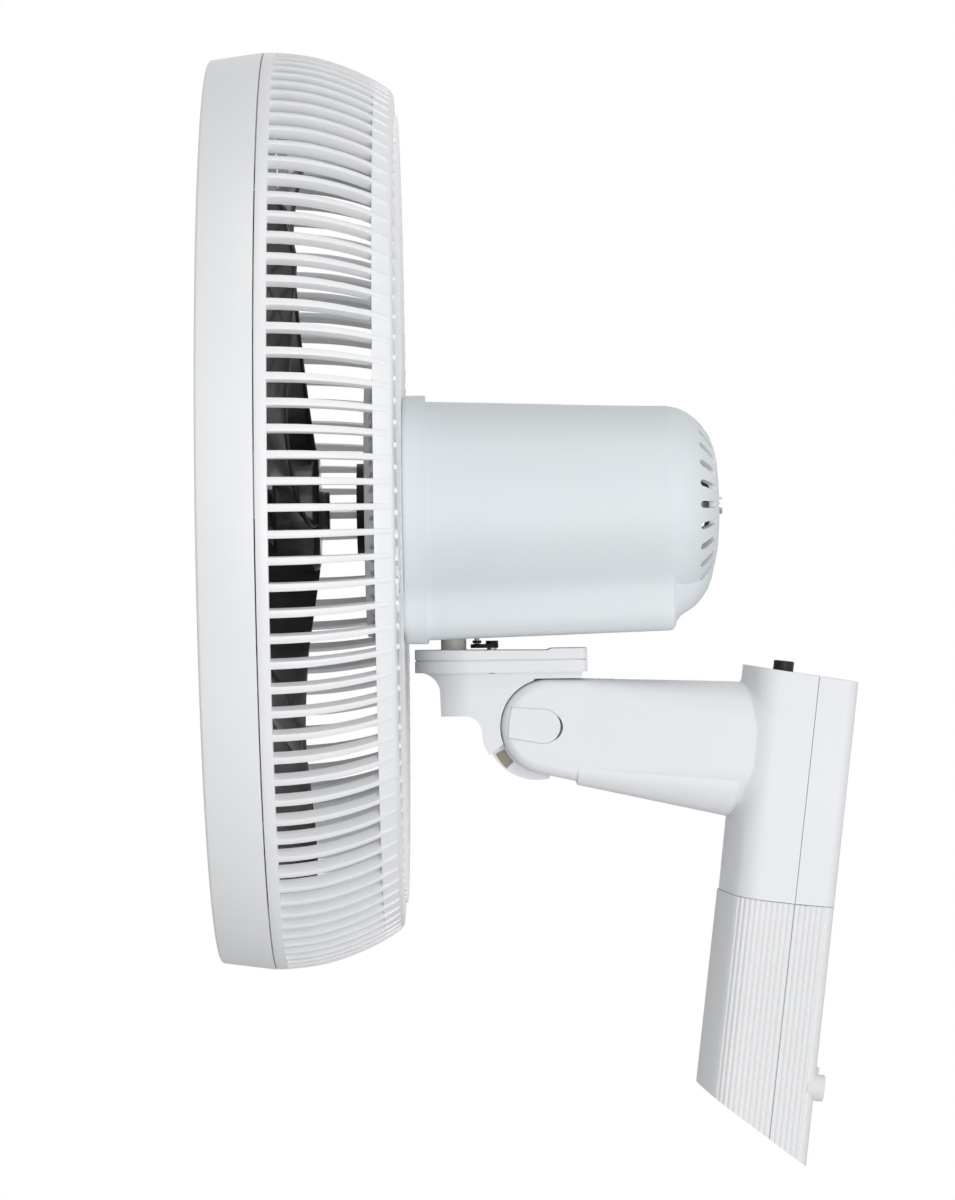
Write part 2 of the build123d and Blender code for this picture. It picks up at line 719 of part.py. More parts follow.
def arm_column_front():
    with BuildPart() as front:
        upper_shell(True)
        arm_loft(3, -40, -122, Mode.SUBTRACT)
        pillars(True, upper_places)
        with BuildSketch(Plane.XZ) as slot:
            with Locations((-149, 0)):
                Rectangle(62, 80)
        extrude(slot.sketch, amount=cheek_inner, both=True, mode=Mode.SUBTRACT)
        with BuildSketch(Plane.XZ) as bore:
            with Locations((pivot.X, 0)):
                Circle(bolt_radius + 0.02)
        extrude(bore.sketch, amount=40, both=True, mode=Mode.SUBTRACT)
        for outward in (1, -1):
            with BuildSketch(Plane.XZ.offset(outward * 18)) as pocket:
                with Locations((pivot.X, 0)):
                    Circle(7)
            extrude(pocket.sketch, amount=outward * 20, mode=Mode.SUBTRACT)
            recess = Pos(0, -outward * (cheek_half - 2.1), 0) * cap_outline(0.15)
            extrude(recess, amount=outward * 10, mode=Mode.SUBTRACT)
        tube(Plane.XY.offset(30), button_radius + 0.3, 20, mode=Mode.SUBTRACT, centre=(button_at, 0))
        for place in cover_screw_places:
            tube(Plane.XY.offset(-40), 1.3, 20, mode=Mode.SUBTRACT, centre=(place, 0))
    keep(front.part, "arm_column_front")


def arm_lower_cover():
    """A thin panel under the arm, from the cheeks back to the column."""
    with BuildPart() as cover:
        with BuildSketch(Plane.XZ) as strip:
            with BuildLine():
                Polyline((arm_tip, -25.3), (arm_tip, -27.1), (arm_tip + 1, -27.4), (-57.4, -34.9),
                         (-57.4, -33.1), close=True)
            make_face()
        extrude(strip.sketch, amount=15, both=True)
        with BuildSketch(Plane.XY.offset(-60)) as trim:
            with Locations((-95, 0)):
                RectangleRounded(80, 30, 5)
        extrude(trim.sketch, amount=60, mode=Mode.INTERSECT)
        for place in cover_screw_places:
            skin = -27.4 - (place - arm_tip - 1) * cover_slope
            tube(Plane.XY.offset(-45), 2.8, skin + 46.5, mode=Mode.SUBTRACT, centre=(place, 0))
            tube(Plane.XY.offset(-45), 1.3, 30, mode=Mode.SUBTRACT, centre=(place, 0))
    keep(cover.part, "arm_lower_cover")


def column_shells():
    with BuildPart() as rear:
        upper_shell(False)
        pillars(False, upper_places)
        with BuildSketch(Plane.YZ.offset(-4)) as window:
            RectangleRounded(46, 54, 3)
        extrude(window.sketch, amount=10, mode=Mode.SUBTRACT)
    keep(rear.part, "column_rear")
    with BuildPart() as ribbed:
        lower_shell(True)
        pillars(True, lower_places)
    keep(ribbed.part, "ribbed_front")
    with BuildPart() as ribbed_back:
        lower_shell(False)
        pillars(False, lower_places)
        for across in (bumper_side, -bumper_side):
            tube(Plane.YZ.offset(-4), 6.6, 8, mode=Mode.SUBTRACT, centre=(across, bumper_height))
            tube(Plane.YZ.offset(-8), 2.6, 8, mode=Mode.SUBTRACT, centre=(across, bumper_height))
        tube(gland_plane.offset(-8), 6.2, 20, mode=Mode.SUBTRACT)
    keep(ribbed_back.part, "ribbed_rear")
    with BuildPart() as fixings:
        screws(Plane.YZ.offset(-4), upper_places + lower_places, 1.35, 26, 3.1, 1.6)
    keep(fixings.part, "shell_screws")
    with BuildPart() as fixings:
        for place in cover_screw_places:
            skin = -27.4 - (place - arm_tip - 1) * 0.102
            tube(Plane.XY.offset(skin + 0.5), 2.6, 1, centre=(place, 0))
            tube(Plane.XY.offset(skin + 1), 1.25, 7, centre=(place, 0))
    keep(fixings.part, "cover_screws")


def on_pivot(offset):
    """A plane across the tilt axis, centred on it, facing -Y."""
    return Plane(origin=(pivot.X, -offset, 0), x_dir=(1, 0, 0), z_dir=(0, -1, 0))


def tilt_hardware():
    with BuildPart() as bolt:
        tube(on_pivot(-22.6), bolt_radius, 40.6)
        with BuildSketch(on_pivot(18)) as head:
            RegularPolygon(5.7, 6)
        extrude(head.sketch, amount=4)
    keep(bolt.part, "tilt_bolt")
    with BuildPart() as nut:
        with BuildSketch(on_pivot(-22)) as grip:
            RegularPolygon(5.7, 6)
            Circle(bolt_radius, mode=Mode.SUBTRACT)
        extrude(grip.sketch, amount=4)
    keep(nut.part, "tilt_nut")
    with BuildPart() as washers:
        for start in (cheek_inner - 0.6, -cheek_inner):
            tube(on_pivot(start), 14, 0.6, inner=bolt_radius + 0.1)
    keep(washers.part, "tilt_washers")
    with BuildPart() as caps:
        for outward in (1, -1):
            plate = Pos(0, -outward * (cheek_half - 2), 0) * cap_outline(0)
            extrude(plate, amount=outward * 2)
    keep(caps.part, "tilt_caps")


def button_parts():
    stem_bottom = column_top - 9
    with BuildPart() as button:
        tube(Plane.XY.offset(column_top - wall - 0.2), button_radius, wall + button_stands,
             centre=(button_at, 0))
        fillet(button.edges().group_by(Axis.Z)[-1], 0.8)
        tube(Plane.XY.offset(column_top - wall - 1.2), 6.6, 1, centre=(button_at, 0))
        tube(Plane.XY.offset(stem_bottom), 2.2, 6, centre=(button_at, 0))
    keep(button.part, "power_button")
    with BuildPart() as spring:
        with BuildLine() as coil:
            Helix(pitch=1.4, height=4.6, radius=3.6, center=(button_at, 0, column_top - 9.0))
        with BuildSketch(Plane(origin=coil.line @ 0, z_dir=coil.line % 0)):
            Circle(0.3)
        sweep(path=coil.line)
    keep(spring.part, "button_spring")
    with BuildPart() as switch:
        tube(Plane.XY.offset(switch_top), 5.5, 1.7, inner=2.8, centre=(button_at, 0))
        with BuildSketch(Plane.XY.offset(switch_top)) as body:
            with Locations((button_at, 0)):
                Rectangle(12, 12)
        extrude(body.sketch, amount=-9.4)
    keep(switch.part, "button_switch")


def electrics():
    with BuildPart() as board:
        with BuildSketch(Plane.XY.offset(-60)) as edge:
            with Locations((-30, 0)):
                Rectangle(1.6, 46)
        extrude(edge.sketch, amount=76)
        for low, size in ((-50, 12), (-30, 16), (-5, 10)):
            with BuildSketch(Plane.XY.offset(low)) as block:
                with Locations((-30.8 - size / 2, 0)):
                    Rectangle(size, size)
            extrude(block.sketch, amount=size)
    keep(board.part, "control_board")
    with BuildPart() as capacitor:
        with BuildSketch(Plane.XY.offset(-130)) as can:
            with Locations((-35, 0)):
                RectangleRounded(17, 36, 2)
        extrude(can.sketch, amount=30)
    keep(capacitor.part, "run_capacitor")
    with BuildPart() as gland:
        tube(gland_plane.offset(-wall - 3), 6, wall + 3, inner=3.4)
        tube(gland_plane.offset(-wall - 3), 7, 3, inner=3.4)
    keep(gland.part, "cord_gland")


def wall_side():
    with BuildPart() as plate:
        with BuildSketch(Plane.YZ.offset(-1.6)) as outline:
            RectangleRounded(45.6, 53.6, 2.8)
            for across in (keyhole_spread / 2, -keyhole_spread / 2):
                with Locations((across, 0)):
                    Circle(4.5, mode=Mode.SUBTRACT)
                with Locations((across, 5)):
                    Rectangle(5, 10, mode=Mode.SUBTRACT)
                with Locations((across, 10)):
                    Circle(2.5, mode=Mode.SUBTRACT)
        extrude(outline.sketch, amount=1.6)
    keep(plate.part, "hanger_plate")
    with BuildPart() as bumpers:
        for across in (bumper_side, -bumper_side):
            tube(Plane.YZ.offset(-4), 6.5, 8.7, centre=(across, bumper_height))
            tube(Plane.YZ.offset(-8), 2.5, 4, centre=(across, bumper_height))
        fillet(bumpers.edges().group_by(Axis.X)[-1], 1)
    keep(bumpers.part, "wall_bumpers")


def main():
    front_guard()
    rear_guard()
    guard_joining()
    fan_blade()
    motor_parts()
    motor_housing()
    swivel_parts()
    swivel_cap()
    neck()
    swing_drive()
    arm_column_front()
    arm_lower_cover()
    column_shells()
    tilt_hardware()
    button_parts()
    electrics()
    wall_side()


main()
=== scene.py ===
import bpy
import bmesh
import json
from math import atan2, cos, pi, radians, sin, sqrt
from mathutils import Matrix, Vector


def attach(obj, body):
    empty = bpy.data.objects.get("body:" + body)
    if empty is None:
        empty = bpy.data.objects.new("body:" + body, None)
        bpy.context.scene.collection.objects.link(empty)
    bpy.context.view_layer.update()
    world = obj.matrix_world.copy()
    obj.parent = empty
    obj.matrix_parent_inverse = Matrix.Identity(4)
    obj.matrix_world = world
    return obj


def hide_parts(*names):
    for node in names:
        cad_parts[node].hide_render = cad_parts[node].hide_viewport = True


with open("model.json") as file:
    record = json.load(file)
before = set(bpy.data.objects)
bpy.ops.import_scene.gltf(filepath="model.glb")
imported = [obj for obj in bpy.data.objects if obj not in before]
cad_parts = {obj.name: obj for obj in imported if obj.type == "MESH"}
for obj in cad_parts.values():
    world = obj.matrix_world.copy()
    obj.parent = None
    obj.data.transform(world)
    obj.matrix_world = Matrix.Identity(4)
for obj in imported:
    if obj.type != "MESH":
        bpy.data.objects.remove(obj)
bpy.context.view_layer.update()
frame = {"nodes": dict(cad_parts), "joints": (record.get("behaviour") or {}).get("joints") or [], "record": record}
print("frame loaded")

# places taken from the frame
joints = {joint["name"]: joint for joint in frame["joints"]}
guardCentre = Vector(joints["blade_spin"]["pos_m"])
along = Vector(joints["blade_spin"]["axis"]).normalized()
across = Vector((0, 1, 0))
headUp = along.cross(across)
tiltPivot = Vector(joints["tilt"]["pos_m"])

# pieces are shaped in millimetres: x along the motor towards the wall, y across, z up
millimetre = 0.001
rowPlace = Matrix.Scale(millimetre, 4)
headPlace = (Matrix.Translation(guardCentre)
             @ Matrix((along, across, headUp)).transposed().to_4x4() @ rowPlace)


def pieceFrom(name, bm):
    mesh = bpy.data.meshes.new(name)
    bm.to_mesh(mesh)
    bm.free()
    piece = bpy.data.objects.new(name, mesh)
    bpy.context.scene.collection.objects.link(piece)
    return piece


# camera, light and backdrop, all in metres
view = {
    "distance": 2.7,             # from the camera to the object's middle plane
    "pixelsPerMetre": 2030.0,    # in the photograph, at that plane
    "pictureHeight": 1200.0,
    "roll": 6.2,                 # degrees that the object leans in the picture
    "aim": (-0.1892, 0.0, 0.0578),
    "sensor": 36.0,
}


def addCamera():
    data = bpy.data.cameras.new("camera")
    focal = view["pixelsPerMetre"] * view["distance"]
    data.sensor_fit = "AUTO"
    data.sensor_width = view["sensor"]
    data.lens = focal / view["pictureHeight"] * view["sensor"]
    data.clip_end = 50
    camera = bpy.data.objects.new("camera", data)
    bpy.context.scene.collection.objects.link(camera)
    roll = radians(view["roll"])
    right = Vector((cos(roll), 0, sin(roll)))
    upward = Vector((-sin(roll), 0, cos(roll)))
    back = right.cross(upward)
    turn = Matrix((right, upward, back)).transposed().to_4x4()
    aim = Vector(view["aim"])
    camera.matrix_world = Matrix.Translation(aim - Vector((0, view["distance"], 0))) @ turn
    bpy.context.scene.camera = camera


lighting = {
    "world": 0.385,
    # name, watts, place, size
    "lamps": [("front", 31.0, (0.6, -3.1, 0.5), 2.6), ("above", 8.0, (-0.3, -1.0, 2.2), 1.0),
              ("right", 6.0, (2.4, -1.4, 0.1), 1.4), ("below", 13.0, (0.4, -2.2, -0.45), 1.2)],
    "aim": (-0.2, 0, 0.03),
    "floorHeight": -0.62, "floorSize": 6, "floorColour": (0.9, 0.9, 0.9, 1), "floorRoughness": 0.9,
}


def addLamp(name, power, at, size):
    data = bpy.data.lights.new(name, "AREA")
    data.energy = power
    data.size = size
    lamp = bpy.data.objects.new(name, data)
    bpy.context.scene.collection.objects.link(lamp)
    aim = Vector(lighting["aim"]) - Vector(at)
    lamp.matrix_world = Matrix.Translation(at) @ aim.to_track_quat("-Z", "Y").to_matrix().to_4x4()


def whiteToTheEye(nodes, links):
    # the camera, mirrors and glass see plain white, everything else sees the soft light
    path = nodes.new("ShaderNodeLightPath")
    seen = None
    for ray in ("Is Camera Ray", "Is Glossy Ray", "Is Transmission Ray"):
        if seen is None:
            seen = path.outputs[ray]
            continue
        both = nodes.new("ShaderNodeMath")
        both.operation = "ADD"
        both.use_clamp = True
        links.new(seen, both.inputs[0])
        links.new(path.outputs[ray], both.inputs[1])
        seen = both.outputs[0]
    return seen


def addWorld():
    world = bpy.data.worlds.new("studio")
    bpy.context.scene.world = world
    world.use_nodes = True
    nodes, links = world.node_tree.nodes, world.node_tree.links
    nodes.clear()
    output = nodes.new("ShaderNodeOutputWorld")
    soft = nodes.new("ShaderNodeBackground")
    soft.inputs["Strength"].default_value = lighting["world"]
    white = nodes.new("ShaderNodeBackground")
    white.inputs["Strength"].default_value = 1.0
    for shader in (soft, white):
        shader.inputs["Color"].default_value = (1, 1, 1, 1)
    mix = nodes.new("ShaderNodeMixShader")
    links.new(whiteToTheEye(nodes, links), mix.inputs["Fac"])
    links.new(soft.outputs[0], mix.inputs[1])
    links.new(white.outputs[0], mix.inputs[2])
    links.new(mix.outputs[0], output.inputs["Surface"])


def addFloor():
    bm = bmesh.new()
    bmesh.ops.create_grid(bm, x_segments=1, y_segments=1, size=lighting["floorSize"])
    floor = pieceFrom("floor", bm)
    floor.location.z = lighting["floorHeight"]
    material = bpy.data.materials.new("paleFloor")
    material.use_nodes = True
    nodes, links = material.node_tree.nodes, material.node_tree.links
    paint = nodes["Principled BSDF"]
    paint.inputs["Base Color"].default_value = lighting["floorColour"]
    paint.inputs["Roughness"].default_value = lighting["floorRoughness"]
    glow = nodes.new("ShaderNodeEmission")
    glow.inputs["Strength"].default_value = 1.0
    mix = nodes.new("ShaderNodeMixShader")
    path = nodes.new("ShaderNodeLightPath")
    links.new(path.outputs["Is Camera Ray"], mix.inputs["Fac"])
    links.new(paint.outputs[0], mix.inputs[1])
    links.new(glow.outputs[0], mix.inputs[2])
    links.new(mix.outputs[0], nodes["Material Output"].inputs["Surface"])
    floor.data.materials.append(material)


bpy.context.scene.view_settings.view_transform = "Standard"
addCamera()
addWorld()
addFloor()
for lamp in lighting["lamps"]:
    addLamp(*lamp)
print("camera and light ready")


# finishes, one for each slot of the record
def newMaterial(name):
    material = bpy.data.materials.new(name)
    material.use_nodes = True
    nodes, links = material.node_tree.nodes, material.node_tree.links
    return material, nodes, links, nodes["Principled BSDF"]


def addNode(nodes, kind, values):
    node = nodes.new(kind)
    for socket, value in values.items():
        node.inputs[socket].default_value = value
    return node


def addTone(nodes, links, source, paint, colour, shares, places):
    # the colour swings between two shares of itself
    tone = nodes.new("ShaderNodeValToRGB")
    for stop, share, place in zip(tone.color_ramp.elements, shares, places):
        stop.position = place
        stop.color = [min(1, channel * share) for channel in colour] + [1]
    links.new(source.outputs["Fac"], tone.inputs["Fac"])
    links.new(tone.outputs["Color"], paint.inputs["Base Color"])


def addGloss(nodes, links, source, paint, lowest, highest):
    gloss = addNode(nodes, "ShaderNodeMapRange", {"To Min": lowest, "To Max": highest})
    links.new(source.outputs["Fac"], gloss.inputs["Value"])
    links.new(gloss.outputs["Result"], paint.inputs["Roughness"])


def addGrain(nodes, links, source, paint, strength, distance):
    bump = addNode(nodes, "ShaderNodeBump", {"Strength": strength, "Distance": distance})
    links.new(source.outputs["Fac"], bump.inputs["Height"])
    links.new(bump.outputs["Normal"], paint.inputs["Normal"])


def mouldedPlastic(name, colour, roughness=0.4, grain=0.06, grainSize=1400.0, cloud=0.02,
                   specular=0.5):
    # a slow cloud in the colour, uneven gloss and a fine moulded grain
    material, nodes, links, paint = newMaterial(name)
    paint.inputs["Specular IOR Level"].default_value = specular
    place = nodes.new("ShaderNodeTexCoord")
    clouds = addNode(nodes, "ShaderNodeTexNoise", {"Scale": 9.0, "Detail": 3.0})
    smears = addNode(nodes, "ShaderNodeTexNoise", {"Scale": 38.0, "Detail": 5.0, "Roughness": 0.65})
    pebble = addNode(nodes, "ShaderNodeTexNoise", {"Scale": grainSize, "Detail": 2.0})
    for texture in (clouds, smears, pebble):
        links.new(place.outputs["Object"], texture.inputs["Vector"])
    addTone(nodes, links, clouds, paint, colour, (1 - cloud, 1 + cloud), (0.3, 0.7))
    addGloss(nodes, links, smears, paint, roughness * 0.88, roughness * 1.14)
    addGrain(nodes, links, pebble, paint, grain, 0.0002)
    return material


def machinedMetal(name, colour, roughness=0.3, streak=60.0, grain=0.05):
    # fine streaks in one direction and a little spread in gloss
    material, nodes, links, paint = newMaterial(name)
    paint.inputs["Metallic"].default_value = 1.0
    place = nodes.new("ShaderNodeTexCoord")
    stretch = addNode(nodes, "ShaderNodeMapping", {"Scale": (streak, 1.0, streak)})
    links.new(place.outputs["Object"], stretch.inputs["Vector"])
    streaks = addNode(nodes, "ShaderNodeTexNoise", {"Scale": 12.0, "Detail": 4.0})
    links.new(stretch.outputs["Vector"], streaks.inputs["Vector"])
    addTone(nodes, links, streaks, paint, colour, (0.86, 1.1), (0.0, 1.0))
    addGloss(nodes, links, streaks, paint, roughness * 0.75, roughness * 1.3)
    addGrain(nodes, links, streaks, paint, grain, 0.0001)
    return material


def smokedPlastic(name, colour):
    # glossy and smoke tinted, with a little light let through
    material = mouldedPlastic(name, colour, roughness=0.16, grain=0.03, grainSize=300, cloud=0.25)
    paint = material.node_tree.nodes["Principled BSDF"]
    paint.inputs["Transmission Weight"].default_value = 0.28
    paint.inputs["IOR"].default_value = 1.49
    return material


finishes = {
    "guard_white": mouldedPlastic("guardWhite", (0.865, 0.875, 0.89), roughness=0.36, grain=0.05),
    "housing_white": mouldedPlastic("housingWhite", (0.745, 0.79, 0.815), roughness=0.46,
                                    grain=0.03),
    "column_white": mouldedPlastic("columnWhite", (0.80, 0.815, 0.84), roughness=0.45, grain=0.1),
    "ribbed_white": mouldedPlastic("ribbedWhite", (0.80, 0.81, 0.82), roughness=0.48, grain=0.1),
    "blade_smoke": smokedPlastic("bladeSmoke", (0.045, 0.038, 0.042)),
    "black_plastic": mouldedPlastic("blackPlastic", (0.01, 0.01, 0.011), roughness=0.42,
                                    grain=0.1, cloud=0.1, specular=0.3),
    "cream_plastic": mouldedPlastic("creamPlastic", (0.82, 0.81, 0.76), roughness=0.35),
    "beige_plastic": mouldedPlastic("beigePlastic", (0.34, 0.31, 0.22), roughness=0.5, cloud=0.12),
    "bright_steel": machinedMetal("brightSteel", (0.62, 0.62, 0.63)),
    "core_steel": machinedMetal("coreSteel", (0.33, 0.29, 0.25), roughness=0.45, streak=300),
    "cast_alloy": machinedMetal("castAlloy", (0.6, 0.6, 0.61), roughness=0.5, streak=8, grain=0.2),
    "winding_brown": mouldedPlastic("windingBrown", (0.33, 0.17, 0.07), roughness=0.35,
                                    grain=0.5, cloud=0.3),
    "bush_bronze": machinedMetal("bushBronze", (0.6, 0.42, 0.2), roughness=0.4),
    "washer_nylon": mouldedPlastic("washerNylon", (0.78, 0.77, 0.72), roughness=0.4),
    "bumper_white": mouldedPlastic("bumperWhite", (0.78, 0.78, 0.78), roughness=0.6),
    "board_green": mouldedPlastic("boardGreen", (0.03, 0.16, 0.06), roughness=0.3, cloud=0.15),
    "capacitor_case": mouldedPlastic("capacitorCase", (0.08, 0.08, 0.09), roughness=0.4),
    "spring_steel": machinedMetal("springSteel", (0.6, 0.6, 0.6), roughness=0.25),
}
for entry in frame["record"]["subparts"]:
    mesh = frame["nodes"][entry["node"]].data
    mesh.materials.clear()
    mesh.materials.append(finishes[entry["material_slot"]])
print("finishes ready")


# helpers that shape and finish a piece
shaping = {"weld": 0.0005, "edgeSegments": 2}


def newPiece(name, bm):
    bmesh.ops.remove_doubles(bm, verts=bm.verts, dist=shaping["weld"])
    bmesh.ops.recalc_face_normals(bm, faces=bm.faces)
    return pieceFrom(name, bm)


def bake(piece):
    graph = bpy.context.evaluated_depsgraph_get()
    baked = bpy.data.meshes.new_from_object(piece.evaluated_get(graph))
    piece.modifiers.clear()
    rough = piece.data
    piece.data = baked
    bpy.data.meshes.remove(rough)


def carve(piece, tool, operation="DIFFERENCE"):
    cut = piece.modifiers.new("carve", "BOOLEAN")
    cut.solver = "EXACT"
    cut.operation = operation
    cut.object = tool
    bake(piece)
    toolMesh = tool.data
    bpy.data.objects.remove(tool)
    bpy.data.meshes.remove(toolMesh)
    return piece


def finishPiece(piece, place, body, nodes, slot, softEdge=0.0, angle=32):
    # places a piece in the frame, with its finish, and breaks edges sharper than the angle
    mesh = piece.data
    mesh.transform(place)
    mesh.materials.clear()
    mesh.materials.append(finishes[slot])
    for polygon in mesh.polygons:
        polygon.material_index = 0
        polygon.use_smooth = True
    if softEdge:
        bevel = piece.modifiers.new("softEdge", "BEVEL")
        bevel.width = softEdge * millimetre
        bevel.segments = shaping["edgeSegments"]
        bevel.limit_method = "ANGLE"
        bevel.angle_limit = radians(angle)
        bake(piece)
    piece.data.set_sharp_from_angle(angle=radians(angle))
    if softEdge:
        evened = piece.modifiers.new("evened", "WEIGHTED_NORMAL")
        evened.keep_sharp = True
        bake(piece)
    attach(piece, body)
    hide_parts(*nodes)
    print("made", piece.name, len(piece.data.polygons), "faces")
    return piece


def outlineLoop(bm, outline, soft=0.0, segments=3, closed=True):
    # edges through (x, height) points in the plane y = 0, with softened corners
    before = set(bm.verts)
    line = [bm.verts.new((x, 0, height)) for x, height in outline]
    for first, second in zip(line, line[1:] + line[:1] if closed else line[1:]):
        bm.edges.new((first, second))
    if soft:
        corners = line if closed else line[1:-1]
        bmesh.ops.bevel(bm, geom=corners, offset=soft, segments=segments, profile=0.5,
                        affect="VERTICES", material=-1)
    verts = [vert for vert in bm.verts if vert not in before]
    return verts, list({edge for vert in verts for edge in vert.link_edges})


def spun(bm, outline, steps=192, soft=0.0, segments=3, closed=True):
    # turns an outline of (x, radius) points about the head's x axis
    verts, edges = outlineLoop(bm, outline, soft, segments, closed)
    bmesh.ops.spin(bm, geom=verts + edges, cent=(0, 0, 0), axis=(1, 0, 0), dvec=(0, 0, 0),
                   angle=2 * pi, steps=steps, use_merge=True, use_duplicate=False)
    if not closed:
        bmesh.ops.remove_doubles(bm, verts=bm.verts, dist=shaping["weld"])


def loft(bm, rings):
    # skins a row of rings, each a list of points taken in the same order, and closes its ends
    before = set(bm.verts)
    loops = []
    for ring in rings:
        verts = [bm.verts.new(point) for point in ring]
        loops.append([bm.edges.new(pair) for pair in zip(verts, verts[1:] + verts[:1])])
    for first, second in zip(loops, loops[1:]):
        bmesh.ops.bridge_loops(bm, edges=first + second)
    for loop in (loops[0], loops[-1]):
        bmesh.ops.edgeloop_fill(bm, edges=loop)
    return [vert for vert in bm.verts if vert not in before]


def prism(bm, plan, lowAt, highAt):
    # an upright solid on a plan of (x, y) points, with its lower and upper ends read from x
    line = [bm.verts.new((x, y, 0)) for x, y in plan]
    edges = [bm.edges.new(pair) for pair in zip(line, line[1:] + line[:1])]
    face = bmesh.ops.contextual_create(bm, geom=edges)["faces"][0]
    made = bmesh.ops.extrude_face_region(bm, geom=[face])["geom"]
    for vert in made:
        if isinstance(vert, bmesh.types.BMVert):
            vert.co.z = highAt(vert.co.x)
    for vert in line:
        vert.co.z = lowAt(vert.co.x)


def rod(name, radius, length, at, segments=48, lying=False):
    # a round bar that stands, or lies along x
    bm = bmesh.new()
    place = Matrix.Translation(at)
    if lying:
        place = place @ Matrix.Rotation(pi / 2, 4, "Y")
    bmesh.ops.create_cone(bm, cap_ends=True, segments=segments, radius1=radius, radius2=radius,
                          depth=length, matrix=place)
    return newPiece(name, bm)


def turned(bm, verts, angle):
    bmesh.ops.rotate(bm, verts=verts, cent=(0, 0, 0), matrix=Matrix.Rotation(angle, 3, "X"))


def copiesAround(bm, verts, count):
    # repeats connected geometry at even steps round the x axis
    faces = {face for vert in verts for face in vert.link_faces}
    edges = {edge for vert in verts for edge in vert.link_edges}
    geom = list(verts) + list(edges) + list(faces)
    for step in range(1, count):
        copy = bmesh.ops.duplicate(bm, geom=geom)["geom"]
        copied = [item for item in copy if isinstance(item, bmesh.types.BMVert)]
        turned(bm, copied, 2 * pi * step / count)


def between(table, value):
    # reads a table of (place, value) pairs at any place along it
    for (low, first), (high, second) in zip(table, table[1:]):
        if value <= high:
            share = max(0.0, (value - low) / (high - low))
            return first + (second - first) * share
    return table[-1][1]


def mirroredRing(x, half):
    # a ring at x from half of its outline, given as (y, z) points with y from 0 or more
    right = [Vector((x, y, z)) for y, z in half]
    left = [Vector((x, -y, z)) for y, z in half[::-1] if y > 0.001]
    return right + left


# front guard: a smooth outer band, two rings and bars that run out to the band
front = {
    "radius": 225.1, "frontRadius": 221.4, "depth": 27.0, "wall": 3.0, "edge": 0.55,
    "bars": 72, "barWidth": 2.4, "barFront": -25.6, "barBack": -21.4, "barSoft": 0.7,
    "barInner": 40.0, "barOuter": 217.5, "barBulge": 0.6, "bulgeFrom": 100, "bulgeTo": 160,
    "rings": (120.0, 165.0), "ringHalf": 1.2, "ringFront": -24.6, "ringBack": -21.8,
    "centre": 43.0, "centreSeat": 40.4, "centreFloor": -23.6, "centreBack": -20.2,
    "badge": [(-27.6, 0), (-27.5, 12), (-27.2, 26), (-26.9, 38.2), (-26.2, 39.6), (-23.9, 39.6),
              (-23.9, 0)],
}


def barRings(path, width, deep, soft):
    # rings of a bar along (x, y, z) stations: rounded, wide along y and deep along x
    half = width / 2
    section = ((0, -half + soft), (0, half - soft), (soft, half), (deep - soft, half),
               (deep, half - soft), (deep, -half + soft), (deep - soft, -half), (soft, -half))
    return [[Vector(station) + Vector((x, y, 0)) for x, y in section] for station in path]


def ringBand(bm, radius, half, low, high, steps=160):
    spun(bm, [(low, radius - half), (low, radius + half), (high, radius + half),
              (high, radius - half)], steps=steps, soft=0.5, segments=2)


def frontGuard():
    bm = bmesh.new()
    back, face = front["radius"], front["frontRadius"]
    wall, depth = front["wall"], front["depth"]
    spun(bm, [(-0.3, back), (1 - depth, face + 0.3), (-depth, face - 0.7),
              (-depth, face - wall + 0.5), (1.4 - depth, face - wall - 0.4), (-0.3, back - wall)],
         steps=256, soft=front["edge"])
    start, bulge = front["barFront"], front["barFront"] - front["barBulge"]
    path = [(start, 0, front["barInner"]), (bulge, 0, front["bulgeFrom"]),
            (bulge, 0, front["bulgeTo"]), (start, 0, front["barOuter"])]
    bar = loft(bm, barRings(path, front["barWidth"], front["barBack"] - start, front["barSoft"]))
    copiesAround(bm, bar, front["bars"])
    for radius in front["rings"]:
        ringBand(bm, radius, front["ringHalf"], front["ringFront"], front["ringBack"])
    seat, floor, low = front["centreSeat"], front["centreFloor"], front["centreBack"]
    spun(bm, [(-depth, seat), (-depth, front["centre"]), (low, front["centre"] + 0.6), (low, 1.0),
              (floor, 1.0), (floor, seat)], steps=96, soft=0.4, segments=2)
    piece = newPiece("frontGuard", bm)
    finishPiece(piece, headPlace, "head", ["front_guard"], "guard_white", angle=28)


def badgeDisc():
    bm = bmesh.new()
    spun(bm, front["badge"], steps=128, soft=0.5, segments=2, closed=False)
    piece = newPiece("badgeDisc", bm)
    finishPiece(piece, headPlace, "head", ["badge_disc"], "guard_white", angle=28)


frontGuard()
badgeDisc()


